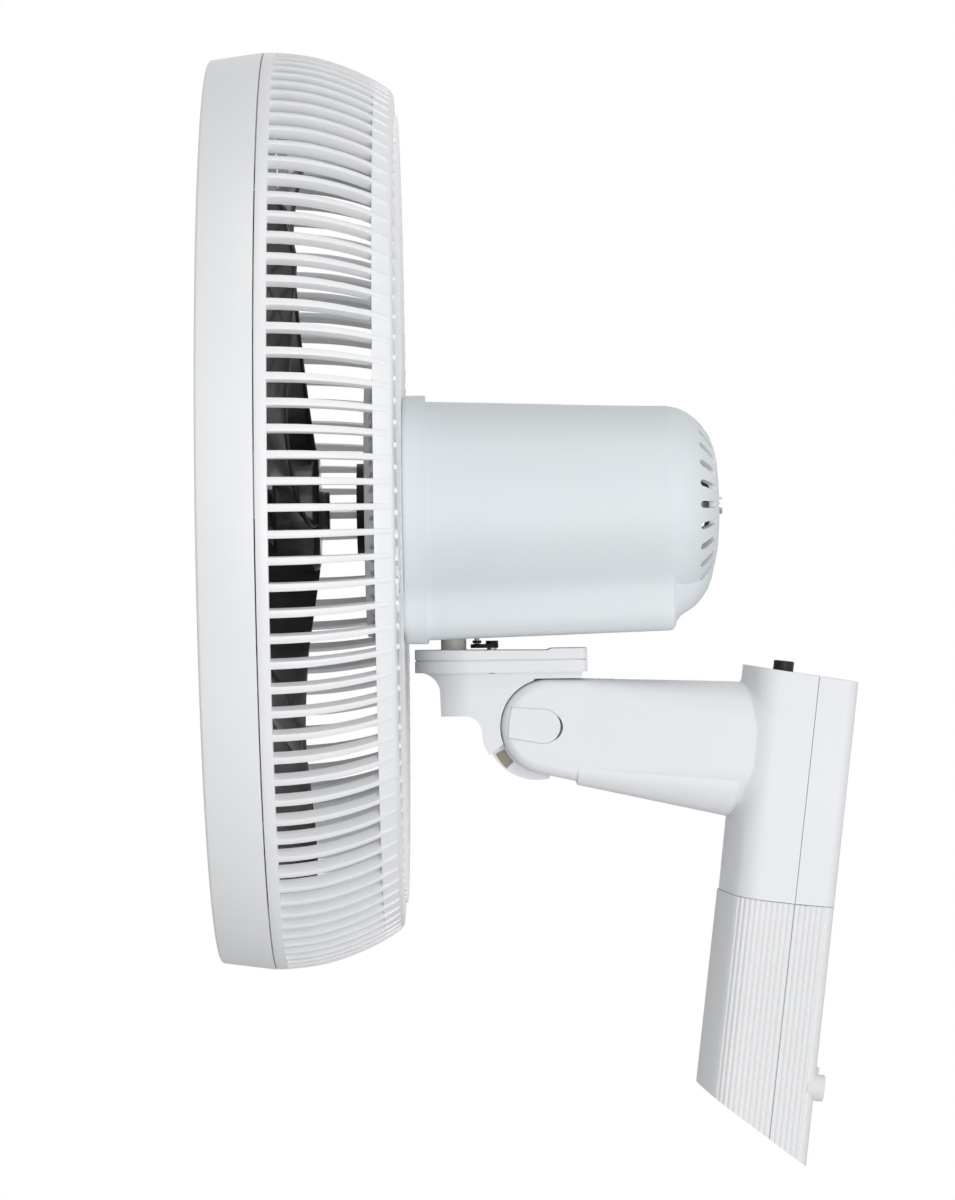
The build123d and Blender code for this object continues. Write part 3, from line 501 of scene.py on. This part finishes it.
# rear guard: a rim, slats that curve in to a back ring, ribs, and a plate round the motor
rear = {
    "rim": [(0.3, 225.0), (6.0, 224.9), (6.0, 217.6), (4.0, 217.4), (3.4, 221.6), (0.3, 221.6)],
    "slats": 116, "slatDepth": 5.8, "slatTurn": 0.5,
    # the slats' outer line and their width, both by x
    "profile": [(3.0, 224.8), (6.0, 224.85), (13.0, 224.3), (20.2, 223.3), (26.0, 222.1),
                (31.5, 220.5), (36.5, 218.8), (41.2, 217.0), (45.8, 215.0), (50.2, 212.8),
                (55.0, 210.2), (59.2, 207.5), (61.4, 205.9)],
    "width": [(3.0, 3.75), (20.0, 3.65), (45.0, 3.1), (61.4, 2.7)],
    "flange": [(53.7, 209.6), (57.5, 207.7), (61.6, 205.1), (62.6, 203.8), (63.3, 190.0),
               (60.9, 190.0), (59.4, 199.2), (53.7, 204.0)],
    "ribs": 58, "ribWidth": 2.3, "ribFront": 57.6, "ribBack": 64.5, "ribInner": 62.0,
    "ribOuter": 193.0, "ribBow": 2.5, "ribSwirl": 16, "shortSwirl": 10.7, "shortTurn": -2.6,
    "rootDeep": 9.0, "rootEnd": 76.0, "rings": (110.0, 155.0), "ringHalf": 1.3,
    "ringFront": 58.6, "ringBack": 64.0, "plate": 70.0, "bore": 19.3, "plateFront": 61.4,
    "plateBack": 64.6, "collar": 62.5, "collarFront": 46.4, "collarBack": 64.0, "collarWall": 2.5,
}


def slatRings():
    # sections of one slat along its outer line: a thin plate that stands on the motor's axis
    rings = []
    line, depth = rear["profile"], rear["slatDepth"]
    for place, (x, radius) in enumerate(line):
        ahead, behind = line[min(place + 1, len(line) - 1)], line[max(place - 1, 0)]
        run = Vector((ahead[0] - behind[0], ahead[1] - behind[1])).normalized()
        outward = Vector((-run.y, 0, run.x))
        half = between(rear["width"], x) / 2
        right = ((half - 0.55, 0), (half - 0.12, -0.22), (half, -0.7), (half - 0.15, -depth + 0.4),
                 (half - 0.5, -depth))
        section = right + tuple((-side, level) for side, level in right[::-1])
        rings.append([Vector((x, side, radius)) + outward * level for side, level in section])
    return rings


def ribPath(inner, outer, swirl):
    # a back rib's line from the plate to the ring, curved sideways on its way out
    path = []
    for place in range(9):
        share = place / 8
        radius = inner + (outer - inner) * share
        angle = radians(swirl) * (share - 0.5) + radians(rear["ribBow"]) * sin(pi * share)
        path.append(Vector((rear["ribFront"], radius * sin(angle), radius * cos(angle))))
    return path


def ribRings(path, width, depth):
    rings = []
    half = width / 2
    for place, station in enumerate(path):
        run = path[min(place + 1, len(path) - 1)] - path[max(place - 1, 0)]
        side = Vector((0, run.z, -run.y)).normalized()
        out = sqrt(station.y ** 2 + station.z ** 2) - rear["ribInner"]
        start = -rear["rootDeep"] * max(0.0, 1 - out / (rear["rootEnd"] - rear["ribInner"]))
        section = ((start, -half + 0.3), (start, half - 0.3), (start + 0.4, half),
                   (depth - 0.6, half), (depth, half - 0.6), (depth, -half + 0.6),
                   (depth - 0.6, -half), (start + 0.4, -half))
        rings.append([station + side * sideways + Vector((deep, 0, 0))
                      for deep, sideways in section])
    return rings


def rearGuard():
    bm = bmesh.new()
    spun(bm, rear["rim"], steps=256, soft=0.35, segments=2)
    spun(bm, rear["flange"], steps=256, soft=0.3, segments=2)
    collar, low, high = rear["collar"], rear["collarFront"], rear["collarBack"]
    inside = collar - rear["collarWall"]
    spun(bm, [(low, inside), (low, collar), (high, collar + 0.6), (high, inside)],
         steps=160, soft=0.5, segments=2)
    slat = loft(bm, slatRings())
    turned(bm, slat, radians(rear["slatTurn"]))
    copiesAround(bm, slat, rear["slats"])
    depth = rear["ribBack"] - rear["ribFront"]
    path = ribPath(rear["ribInner"], rear["ribOuter"], rear["ribSwirl"])
    copiesAround(bm, loft(bm, ribRings(path, rear["ribWidth"], depth)), rear["ribs"])
    path = ribPath(rear["rings"][0], rear["ribOuter"], rear["shortSwirl"])
    short = loft(bm, ribRings(path, rear["ribWidth"], depth))
    turned(bm, short, radians(180 / rear["ribs"] + rear["shortTurn"]))
    copiesAround(bm, short, rear["ribs"])
    for radius in rear["rings"]:
        ringBand(bm, radius, rear["ringHalf"], rear["ringFront"], rear["ringBack"])
    middle, half = (rear["bore"] + rear["plate"]) / 2, (rear["plate"] - rear["bore"]) / 2
    ringBand(bm, middle, half, rear["plateFront"], rear["plateBack"], steps=128)
    piece = newPiece("rearGuard", bm)
    finishPiece(piece, headPlace, "head", ["rear_guard"], "guard_white", angle=34)


rearGuard()


# fan blade: five curved blades on a hub
blade = {
    "count": 5, "phase": 14.8, "camber": -5.4, "thickness": 2.2, "tipCorner": 9.0,
    "root": 29, "tip": 195, "sections": 22, "tipDraw": 75, "edgeRound": 1.6, "edgeShare": 0.25,
    # radius, then the rear and front edges along the axis, then both in degrees round it
    "stations": [(29, 23.2, -6.0, -49.4, 32.0), (60, 18.8, -12.0, -37.9, 35.0),
                 (100, 14.4, -16.2, -26.3, 35.9), (140, 11.9, -16.6, -14.6, 33.9),
                 (175, 16.6, -16.5, -2.9, 32.3), (195, 19.5, -16.0, 10.2, 30.7)],
    "hub": 31.0, "hubFront": 1.0, "hubBack": 24.0, "bore": 4.2, "collar": 9.9, "collarBack": 28.4,
}


def smoothRead(entry, radius):
    # reads one entry of the stations at any radius, along a smooth curve
    table = [(station[0], station[entry]) for station in blade["stations"]]
    place = max(index for index, pair in enumerate(table[:-1]) if pair[0] <= radius or index == 0)
    low, high = table[place], table[place + 1]
    gap = high[0] - low[0]
    share = (radius - low[0]) / gap
    before = table[place - 1] if place else (2 * low[0] - high[0], 2 * low[1] - high[1])
    after = (2 * high[0] - low[0], 2 * high[1] - low[1])
    if place + 2 < len(table):
        after = table[place + 2]
    rise = (high[1] - before[1]) / (high[0] - before[0]) * gap
    fall = (after[1] - low[1]) / (after[0] - low[0]) * gap
    square, cube = share * share, share ** 3
    return ((2 * cube - 3 * square + 1) * low[1] + (cube - 2 * square + share) * rise
            + (3 * square - 2 * cube) * high[1] + (cube - square) * fall)


def bladePoint(radius, share, side):
    # a point on one face of a blade, from its rear edge (share 0) to its front edge (share 1)
    rearAt, frontAt, rearTurn, frontTurn = (smoothRead(entry, radius) for entry in (1, 2, 3, 4))
    turn = radians(blade["phase"] + rearTurn + (frontTurn - rearTurn) * share)
    camber = blade["camber"]
    reach = rearAt + (frontAt - rearAt) * share + 4 * camber * share * (1 - share)
    chord = max(1.0, radius * radians(frontTurn - rearTurn))
    slope = atan2(frontAt - rearAt + 4 * camber * (1 - 2 * share), chord)
    inward = max(0.0, min(share, 1 - share)) * chord / blade["edgeRound"]
    half = side * blade["thickness"] / 2 * min(1.0, sqrt(inward) + blade["edgeShare"])
    turn -= half * sin(slope) / radius
    return Vector((reach + half * cos(slope), radius * sin(turn), radius * cos(turn)))


def fanBlade():
    bm = bmesh.new()
    root, tip, corner, count = blade["root"], blade["tip"], blade["tipCorner"], blade["sections"]
    radii = [root + (tip - root) * place / count for place in range(count + 1)]
    shares = [0, 0.006, 0.02] + [0.02 + 0.96 * place / 18 for place in range(1, 18)]
    shares += [0.98, 0.994, 1]
    rings = []
    for radius in radii:
        # the tip's corners are rounded by drawing its last sections in
        short = max(0.0, radius - (tip - corner)) / corner
        draw = corner * (1 - sqrt(max(0.0, 1 - short * short))) / blade["tipDraw"]
        line = [draw + share * (1 - 2 * draw) for share in shares]
        rings.append([bladePoint(radius, share, 1) for share in line]
                     + [bladePoint(radius, share, -1) for share in line[::-1]])
    one = loft(bm, rings)
    copiesAround(bm, one, blade["count"])
    hub, nose, back, bore = blade["hub"], blade["hubFront"], blade["hubBack"], blade["bore"]
    spun(bm, [(nose, bore), (nose, hub - 2), (nose + 2, hub), (back - 3, hub),
              (back - 0.6, hub - 2.4), (back, hub - 6), (back, bore)], steps=96, soft=0.8)
    collar, end = blade["collar"], blade["collarBack"]
    spun(bm, [(back - 1, bore), (back - 1, collar + 0.6), (back + 1.2, collar),
              (end, collar - 0.3), (end, bore)], steps=64, soft=0.35, segments=2)
    piece = newPiece("fanBlade", bm)
    finishPiece(piece, headPlace, "rotor", ["fan_blade"], "blade_smoke", angle=40)


fanBlade()


# motor housing and its front cover: a round top on a narrower chin
housing = {
    "front": 76.0, "hollowFront": 74.0, "wall": 2.6,
    # radius of the round top by x, then of the dome
    "top": [(76.0, 53.1), (100.0, 52.3), (130.0, 51.3), (160.0, 50.2), (187.0, 49.5)],
    "dome": [(195.1, 49.3), (200.0, 48.2), (204.3, 46.2), (208.4, 43.2), (212.1, 39.2),
             (215.2, 34.4), (217.5, 28.8), (218.9, 22.0), (219.6, 14.0), (219.8, 6.0),
             (219.8, 0.0)],
    "domeStart": 188.0,
    "chinHalf": 34.0, "chinBottom": [(76.0, -64.3), (197.5, -61.0)], "chinCorner": 9.0,
    "chinBack": 197.3, "chinSwell": 15.0, "chinRound": 3.0, "chinDraw": 0.05,
    # how the chin runs out under the dome: x, lowest line, half width
    "chinEnd": [(190.0, -60.6, 32.0), (195.5, -60.2, 31.6), (196.8, -58.6, 31.0),
                (198.0, -56.2, 30.2), (200.0, -53.7, 28.8), (203.5, -51.6, 26.0),
                (207.0, -49.3, 23.0), (210.5, -45.6, 19.5), (213.5, -41.2, 16.0),
                (216.0, -35.4, 12.0), (217.3, -29.0, 8.0)],
    "chinEndTop": -18.0,
    "slots": 24, "slotInner": 29.0, "slotOuter": 42.0, "slotWidth": 3.4, "slotStart": 195,
    "slotDeep": 40,
    "swivelAt": 88.4, "swivelRadius": 12.6, "swivelLow": -80, "swivelHigh": -40,
}
cover = {
    "radius": 56.1, "half": 37.0, "bottom": -66.1, "corner": 10.0,
    # x, and how far the section is drawn in there
    "stations": [(64.6, 0.972), (65.0, 0.985), (66.0, 0.996), (67.4, 1.0), (76.0, 1.0)],
    "boss": [(46.0, 0), (46.0, 18.8), (70.0, 18.8), (70.0, 0)],
    "hollow": [(30.0, 0), (30.0, 10.0), (67.6, 10.0), (67.6, 52.5), (80.0, 52.5), (80.0, 0)],
}


def angleOf(cosine):
    return atan2(sqrt(max(0.0, 1 - cosine * cosine)), cosine)


def cornerDown(half, bottom, corner, steps, first=0):
    # a rounded lower corner, from the side to the bottom
    return [(half - corner + corner * cos(pi / 2 * place / steps),
             bottom + corner - corner * sin(pi / 2 * place / steps))
            for place in range(first, steps + 1)]


def swelledHalf(radius, half, bottom, corner, swell):
    # half of a section, from the top: a round, a hollow sweep, a straight cheek and a corner
    low = -sqrt((radius + swell) ** 2 - (half + swell) ** 2)
    meet = angleOf(low / (radius + swell))
    points = [(radius * sin(meet * place / 36), radius * cos(meet * place / 36))
              for place in range(37)]
    for place in range(1, 9):
        angle = meet + (pi / 2 - meet) * place / 8
        points.append((half + swell - swell * sin(angle), low - swell * cos(angle)))
    for place in range(1, 4):
        points.append((half, low + (bottom + corner - low) * place / 4))
    return points + cornerDown(half, bottom, corner, 8)


def housingSection(x, inset):
    return swelledHalf(between(housing["top"], x) - inset, housing["chinHalf"] - inset,
                       between(housing["chinBottom"], x) + inset, housing["chinCorner"] - inset,
                       housing["chinSwell"] + inset)


def housingShell(bm, inset, start, end):
    rounding = housing["chinRound"]
    stations = [start, 84, 100, 118, 136, 154, 172, 184, 190]
    stations += [end - rounding, end - 1.2, end - 0.35, end]
    rings = []
    for x in stations:
        tuck = max(0.0, x - (end - rounding)) / rounding
        draw = 1 - housing["chinDraw"] * tuck ** 3 if inset == 0 else 1
        ring = mirroredRing(x, housingSection(min(x, 196), inset))
        rings.append([Vector((point.x, point.y * draw, point.z * draw)) for point in ring])
    loft(bm, rings)


def domeSolid(bm, inset):
    # the inset thins out towards the middle, where the dome's wall faces along x
    start, widest = housing["domeStart"], housing["dome"][0][1]
    line = [(start, 0.0), (start, between(housing["top"], start) - inset)]
    for x, radius in housing["dome"]:
        back = inset * sqrt(max(0.0, 1 - radius / widest)) + (inset * 0.3 if radius < 48 else 0)
        line.append((x - back, max(0.0, radius - inset * min(1, radius / 30))))
    spun(bm, line, steps=144, closed=False)


def housingSolid(name, inset, start, end):
    bm = bmesh.new()
    housingShell(bm, inset, start, end)
    block = newPiece(name, bm)
    bm = bmesh.new()
    domeSolid(bm, inset)
    return carve(block, newPiece(name + "Dome", bm), "UNION")


def chinEnd():
    # the sweep that carries the chin's end up into the dome
    bm = bmesh.new()
    rings = []
    for x, low, half in housing["chinEnd"]:
        corner = min(housing["chinCorner"], half * 0.8)
        outline = [(half, housing["chinEndTop"])] + cornerDown(half, low, corner, 12)
        rings.append([Vector((x, side * y, z))
                      for side, row in ((1, outline), (-1, outline[::-1])) for y, z in row])
    loft(bm, rings)
    return newPiece("chinEnd", bm)


def ventCutters():
    # round ended slots that stand out from the housing's end like spokes
    bm = bmesh.new()
    inner, outer, half = housing["slotInner"], housing["slotOuter"], housing["slotWidth"] / 2
    outline = []
    for start, middle in ((0, outer - half), (pi, inner + half)):
        for place in range(9):
            angle = start + pi * place / 8
            outline.append(Vector((housing["slotStart"], half * cos(angle),
                                   middle + half * sin(angle))))
    deep = Vector((housing["slotDeep"], 0, 0))
    one = loft(bm, [outline, [point + deep for point in outline]])
    copiesAround(bm, one, housing["slots"])
    return newPiece("ventCutters", bm)


def motorHousing():
    wall, back = housing["wall"], housing["chinBack"]
    low, high = housing["swivelLow"], housing["swivelHigh"]
    body = housingSolid("motorHousing", 0.0, housing["front"], back)
    hollow = housingSolid("housingHollow", wall, housing["hollowFront"], back - wall)
    body = carve(body, chinEnd(), "UNION")
    body = carve(body, hollow)
    body = carve(body, ventCutters())
    body = carve(body, rod("swivelOpening", housing["swivelRadius"], high - low,
                           (housing["swivelAt"], 0, (low + high) / 2), segments=64))
    finishPiece(body, headPlace, "head", ["motor_housing"], "housing_white", softEdge=0.5,
                angle=30)


def motorFrontCover():
    # the flange that the rear guard sits on
    bm = bmesh.new()
    outline = swelledHalf(cover["radius"], cover["half"], cover["bottom"], cover["corner"],
                          housing["chinSwell"])
    loft(bm, [mirroredRing(x, [(y * draw, z * draw) for y, z in outline])
              for x, draw in cover["stations"]])
    flange = newPiece("motorFrontCover", bm)
    bm = bmesh.new()
    spun(bm, cover["boss"], steps=96, soft=0.5, segments=2, closed=False)
    flange = carve(flange, newPiece("coverBoss", bm), "UNION")
    bm = bmesh.new()
    spun(bm, cover["hollow"], steps=96, closed=False)
    flange = carve(flange, newPiece("coverHollow", bm))
    finishPiece(flange, headPlace, "head", ["motor_front_cover"], "housing_white", softEdge=0.4,
                angle=30)


motorHousing()
motorFrontCover()


# column and arm, in the row's frame: x = 0 is the wall side, and the arm runs out to minus x
column = {
    "depth": 56.5, "half": 31.0, "backCorner": 6.0, "wall": 2.5,
    # the front's arcs from the middle outwards: radius, and the degrees that each one turns to
    "frontArcs": [(33.9, 14.0), (70.0, 28.0), (13.0, 90.0)],
    "copiedCorner": 22.0,
    "longSeam": -19.5, "levelSeam": -72.8, "seamGap": 0.13,
    # how far the level seam rises above its lowest line
    "seamRise": [(-56.5, 2.3), (-53.0, 1.6), (-48.0, 0.8), (-42.0, 0.35), (-30.0, 0.0),
                 (-15.0, 0.0), (0.0, 0.4)],
    "bottomFront": -166.1, "bottomBack": -199.5,
}
flutes = {
    "pitch": 2.72, "depth": 0.5, "sharp": 1.7, "front": -47.4, "back": -2.2,
    # points on the plan, outside and inside, and what counts as straight when they are thinned
    "outerPoints": 1100, "innerPoints": 90, "straight": 0.002, "longest": 3.0,
}
pillars = {
    "screws": [(22, -84), (-22, -84), (0, -150)], "radius": 4, "front": -47.5, "middleFront": -54.0,
    "back": -1.0, "gap": 0.2, "segments": 40,
    # radius, length and middle of the drilled holes
    "frontDrill": (1.4, 14, -26.5), "backDrill": (3.3, 10, 1.0),
    "bumperAt": (24.0, -161.0), "bumperRadius": 6.6, "bumperDeep": 8,
}


def columnLine(inset, steps):
    # the column's plan from the middle of its front round to the middle of its back, at even
    # steps, as (x, y, outward x, outward y)
    half, back = column["half"] - inset, column["backCorner"] - inset
    arcs = []
    x, y, since = inset - column["depth"], 0.0, 0.0
    for radius, until in column["frontArcs"]:
        first, last, reach = radians(since), radians(until), radius - inset
        arcs.append((x + reach * cos(first), y + reach * sin(first), reach, first))
        x, y = x + reach * (cos(first) - cos(last)), y + reach * (sin(first) - sin(last))
        since = until
    turns = [until for _, until in column["frontArcs"]]
    legs = [(radius - inset) * radians(until - before) for (radius, until), before
            in zip(column["frontArcs"], [0.0] + turns)]
    legs += [-inset - back - x, back * pi / 2, half - back]
    total = sum(legs)
    points = []
    for step in range(steps + 1):
        run, leg = total * step / steps, 0
        while leg < len(legs) - 1 and run > legs[leg]:
            run -= legs[leg]
            leg += 1
        if leg < len(arcs):
            middleX, middleY, reach, first = arcs[leg]
            turn = first + run / reach
            points.append((middleX - reach * cos(turn), middleY - reach * sin(turn),
                           -cos(turn), -sin(turn)))
        elif leg == len(arcs):
            points.append((x + run, y, 0, -1))
        elif leg == len(arcs) + 1:
            turn = run / back
            points.append((-inset - back + back * sin(turn), y + back - back * cos(turn),
                           sin(turn), -cos(turn)))
        else:
            points.append((-inset, y + back + run, 1, 0))
    return points, total


def flutedPlan(inset, isFront):
    # the plan of one ribbed shell, with its grooves on the outside
    outside = inset == 0
    points, total = columnLine(inset, flutes["outerPoints" if outside else "innerPoints"])
    cut = column["longSeam"] + (-column["seamGap"] if isFront else column["seamGap"])
    side = []
    for place, (x, y, outX, outY) in enumerate(points):
        run = total * place / (len(points) - 1)
        deep = 0.0
        if outside and flutes["front"] < x < flutes["back"]:
            wave = 0.5 + 0.5 * cos(2 * pi * run / flutes["pitch"])
            deep = flutes["depth"] * wave ** flutes["sharp"]
        if (x < cut) == isFront:
            side.append((x - outX * deep, y - outY * deep))
    thin = []
    for place, point in enumerate(side):
        if outside and 0 < place < len(side) - 1:
            (ax, ay), (bx, by) = thin[-1], side[place + 1]
            bend = (point[0] - ax) * (by - point[1]) - (point[1] - ay) * (bx - point[0])
            away = abs(point[0] - ax) + abs(point[1] - ay)
            if abs(bend) < flutes["straight"] and away < flutes["longest"]:
                continue
        thin.append(point)
    if isFront:
        thin.append((cut, thin[-1][1]))
    else:
        thin.insert(0, (cut, thin[0][1]))
    return thin + [(x, -y) for x, y in thin[::-1] if abs(y) > 0.01]


def bottomAt(x):
    low, high = column["bottomBack"], column["bottomFront"]
    return low + (low - high) / column["depth"] * x


def ribbedShell(name, node, isFront):
    bm = bmesh.new()
    seam, middle = column["levelSeam"] - column["seamGap"], column["longSeam"]
    prism(bm, flutedPlan(0.0, isFront), bottomAt, lambda x: seam + between(column["seamRise"], x))
    shell = newPiece(name, bm)
    bm = bmesh.new()
    wall = column["wall"]
    past = 2 if isFront else -2
    inner = [(x + past if abs(x - middle) < 0.6 else x, y) for x, y in flutedPlan(wall, isFront)]
    prism(bm, inner, lambda x: bottomAt(x) + wall * 1.16, lambda x: column["levelSeam"] + 8)
    carve(shell, newPiece("shellHollow", bm))
    drill, drilled, drillAt = pillars["frontDrill" if isFront else "backDrill"]
    for y, z in pillars["screws"]:
        start = pillars["middleFront" if y == 0 else "front"] if isFront else middle
        end = middle if isFront else pillars["back"]
        pillar = rod("pillar", pillars["radius"], end - start - pillars["gap"],
                     ((start + end) / 2, y, z), segments=pillars["segments"], lying=True)
        carve(shell, pillar, "UNION")
        carve(shell, rod("drill", drill, drilled, (drillAt, y, z),
                         segments=pillars["segments"], lying=True))
    if not isFront:
        sideways, low = pillars["bumperAt"]
        for y in (sideways, -sideways):
            carve(shell, rod("bumperSeat", pillars["bumperRadius"], pillars["bumperDeep"],
                             (0, y, low), lying=True))
    finishPiece(shell, rowPlace, "column", [node], "ribbed_white", softEdge=0.12, angle=38)


# the arm's section tapers from the column: each is its size at x = 0 and its loss out to the tip
arm = {"half": (29.0, 3.0), "corner": (24, 17), "height": (65.5, 15.5), "length": 132}
flare = {"start": -55.0, "end": -36.5, "spread": 5.0, "steps": 44, "levels": 40, "sunk": 0.02,
         "clear": 0.05, "low": 0.06}
underCover = {
    "start": -131.0, "end": -56.6, "lowStart": -26.8, "lowEnd": -34.3, "proud": 0.06, "sunk": 0.4,
    "wrap": 8, "steps": 6, "tailSteps": 3, "tailStep": 1.6, "tailRise": 0.6,
    "screws": (-118.0, -70.0), "screwWell": 2.8, "wellLong": 10, "wellMiddle": 3.5,
}


def armAt(kind, x):
    full, loss = arm[kind]
    return full - loss * -x / arm["length"]


def armFlare():
    # the hollow sweep where the arm's sides run into the column
    bm = bmesh.new()
    rings = []
    start, end, spread = flare["start"], flare["end"], flare["spread"]
    stations = [start + (end - start) * place / flare["steps"]
                for place in range(flare["steps"] + 1)]
    frontLine = [(x, abs(y)) for x, y, _, _ in columnLine(0.0, 240)[0] if x < -30]
    widths = [between(frontLine, x) for x in stations]
    for level in range(flare["levels"] + 1):
        rise = -pi / 2 + pi * level / flare["levels"]
        ring = []
        for x, width in zip(stations, widths):
            corner, top = armAt("corner", x), armAt("height", x) / 2 - flare["low"]
            z = top * sin(rise)
            over = max(0.0, abs(z) - (top - corner))
            side = armAt("half", x) - flare["clear"] - corner
            side += sqrt(max(0.0, corner * corner - over * over))
            bend = max(0.0, spread - abs(side - width))
            out = max(side, width - flare["clear"]) + bend * bend / (4 * spread) - flare["sunk"]
            ring.append(Vector((x, out, z)))
        rings.append(ring + [Vector((point.x, -point.y, point.z)) for point in ring[::-1]])
    loft(bm, rings)
    sweep = newPiece("armFlare", bm)
    sweep.data.transform(rowPlace)
    return sweep


def armUnderCover():
    # the panel under the arm, wrapped up to the arm's rounded lower corners
    bm = bmesh.new()
    rings = []
    start, end = underCover["start"], underCover["end"]
    lowLine = [(start, underCover["lowStart"]), (end, underCover["lowEnd"])]
    for place in range(underCover["steps"] + underCover["tailSteps"] + 1):
        share = min(1, place / underCover["steps"])
        tail = max(0, place - underCover["steps"])
        x = start + (end - start) * share + underCover["tailStep"] * tail
        low = lowLine[0][1] + (lowLine[1][1] - lowLine[0][1]) * share
        low += underCover["tailRise"] * tail ** 2
        half, corner = armAt("half", x) + underCover["proud"], armAt("corner", x)
        outline = [(half - underCover["sunk"], low + corner + underCover["wrap"])]
        outline += cornerDown(half, low, corner, 12)
        rings.append([Vector((x, side * y, z))
                      for side, row in ((-1, outline), (1, outline[::-1])) for y, z in row])
    loft(bm, rings)
    panel = newPiece("armUnderCover", bm)
    for x in underCover["screws"]:
        carve(panel, rod("screwWell", underCover["screwWell"], underCover["wellLong"],
                         (x, 0, between(lowLine, x) - underCover["wellMiddle"])))
    finishPiece(panel, rowPlace, "column", ["arm_lower_cover"], "column_white", softEdge=0.25,
                angle=34)


armUnderCover()
ribbedShell("ribbedFront", "ribbed_front", True)
ribbedShell("ribbedBack", "ribbed_rear", False)


# pieces that start from a copy of a node and mostly need their edges broken
softened = {
    # node: (piece, body, slot, edge break in mm)
    "neck": ("neckShell", "neck", "column_white", 0.35),
    "swivel_cap": ("swivelPlate", "neck", "column_white", 0.45),
    "tilt_insert": ("tailInsert", "neck", "beige_plastic", 0.2),
    "arm_column_front": ("armColumn", "column", "column_white", 0.16),
    "column_rear": ("columnBack", "column", "column_white", 0.16),
    "tilt_caps": ("tiltCovers", "column", "column_white", 0.1),
    "wall_bumpers": ("wallBumpers", "column", "bumper_white", 0.5),
    "guard_nut": ("guardNut", "head", "black_plastic", 0.4),
    "guard_clips": ("guardClips", "head", "guard_white", 0.3),
    "swing_crank": ("swingCrank", "crank", "black_plastic", 0.3),
    "cord_gland": ("cordGland", "column", "black_plastic", 0.3),
}
# how near a copied point lies to the line that it belongs to, in mm
tolerance = {"seam": 0.02, "front": 0.03, "hollow": 0.12}
neckGap = {"copied": 24.45, "shown": 23.6, "outside": 11.0, "below": -84.0}
crankHub = {"radius": 3.1, "low": -67.4, "high": -65.1}


def drawFront(bm):
    # the copied front corner is drawn in to the column's own plan
    corner, near = column["copiedCorner"], tolerance["front"]
    middle, side = corner - column["depth"], column["half"] - corner
    plan = [(atan2(-y, middle - x), sqrt((middle - x) ** 2 + y * y))
            for x, y, _, _ in columnLine(0.0, 600)[0] if x < middle]
    for vert in bm.verts:
        x, y = vert.co.x * 1000, abs(vert.co.y) * 1000
        if x > middle - 0.01:
            continue
        onCorner = y >= side and abs(sqrt((x - middle) ** 2 + (y - side) ** 2) - corner) < near
        onNose = y < side and abs(x + column["depth"]) < near
        if onCorner or onNose:
            reach = sqrt((middle - x) ** 2 + y * y)
            scale = between(plan, atan2(y, middle - x)) / reach
            vert.co.x = (middle + (x - middle) * scale) * millimetre
            vert.co.y *= scale


def openSeams(bm):
    # the copied shells stop a hair short of each other, and the level seam gets its curve
    gap, near = column["seamGap"] * millimetre, tolerance["seam"]
    for vert in bm.verts:
        if abs(vert.co.z * 1000 - column["levelSeam"]) < near:
            vert.co.z += gap + between(column["seamRise"], vert.co.x * 1000) * millimetre
        if abs(vert.co.x * 1000 - column["longSeam"]) < near:
            furthest = max((face.calc_center_median().x for face in vert.link_faces), default=-1)
            vert.co.x += gap if furthest > (column["longSeam"] + 0.1) * millimetre else -gap


def closeGap(bm):
    # the hollow that the cheeks turn in follows them more closely than the copied one does
    toHead = headPlace.inverted()
    pivot = toHead @ tiltPivot
    for vert in bm.verts:
        at = toHead @ vert.co
        reach = sqrt((at.x - pivot.x) ** 2 + (at.z - pivot.z) ** 2)
        onHollow = abs(reach - neckGap["copied"]) < tolerance["hollow"]
        if onHollow and abs(at.y) > neckGap["outside"] and at.z < neckGap["below"]:
            scale = neckGap["shown"] / reach
            at.x = pivot.x + (at.x - pivot.x) * scale
            at.z = pivot.z + (at.z - pivot.z) * scale
            vert.co = headPlace @ at


def crankBoss():
    # the crank's raised hub, over the shaft of the swing motor
    hub = headPlace.inverted() @ Vector(joints["crank_turn"]["pos_m"])
    low, high = crankHub["low"], crankHub["high"]
    boss = rod("crankBoss", crankHub["radius"], high - low, (hub.x, hub.y, (high + low) / 2))
    boss.data.transform(headPlace)
    return boss


def softenedCopy(node, name, body, slot, edge):
    bm = bmesh.new()
    bm.from_mesh(frame["nodes"][node].data)
    bmesh.ops.remove_doubles(bm, verts=bm.verts, dist=0.000002)
    bmesh.ops.dissolve_limit(bm, angle_limit=radians(0.6), verts=bm.verts, edges=bm.edges,
                             use_dissolve_boundaries=False)
    if name == "neckShell":
        closeGap(bm)
    if name == "armColumn":
        drawFront(bm)
    if name in ("armColumn", "columnBack"):
        openSeams(bm)
    piece = pieceFrom(name, bm)
    if name == "armColumn":
        carve(piece, armFlare(), "UNION")
    if name == "swingCrank":
        carve(piece, crankBoss(), "UNION")
    finishPiece(piece, Matrix.Identity(4), body, [node], slot, softEdge=edge)


for node, (name, body, slot, edge) in softened.items():
    softenedCopy(node, name, body, slot, edge)
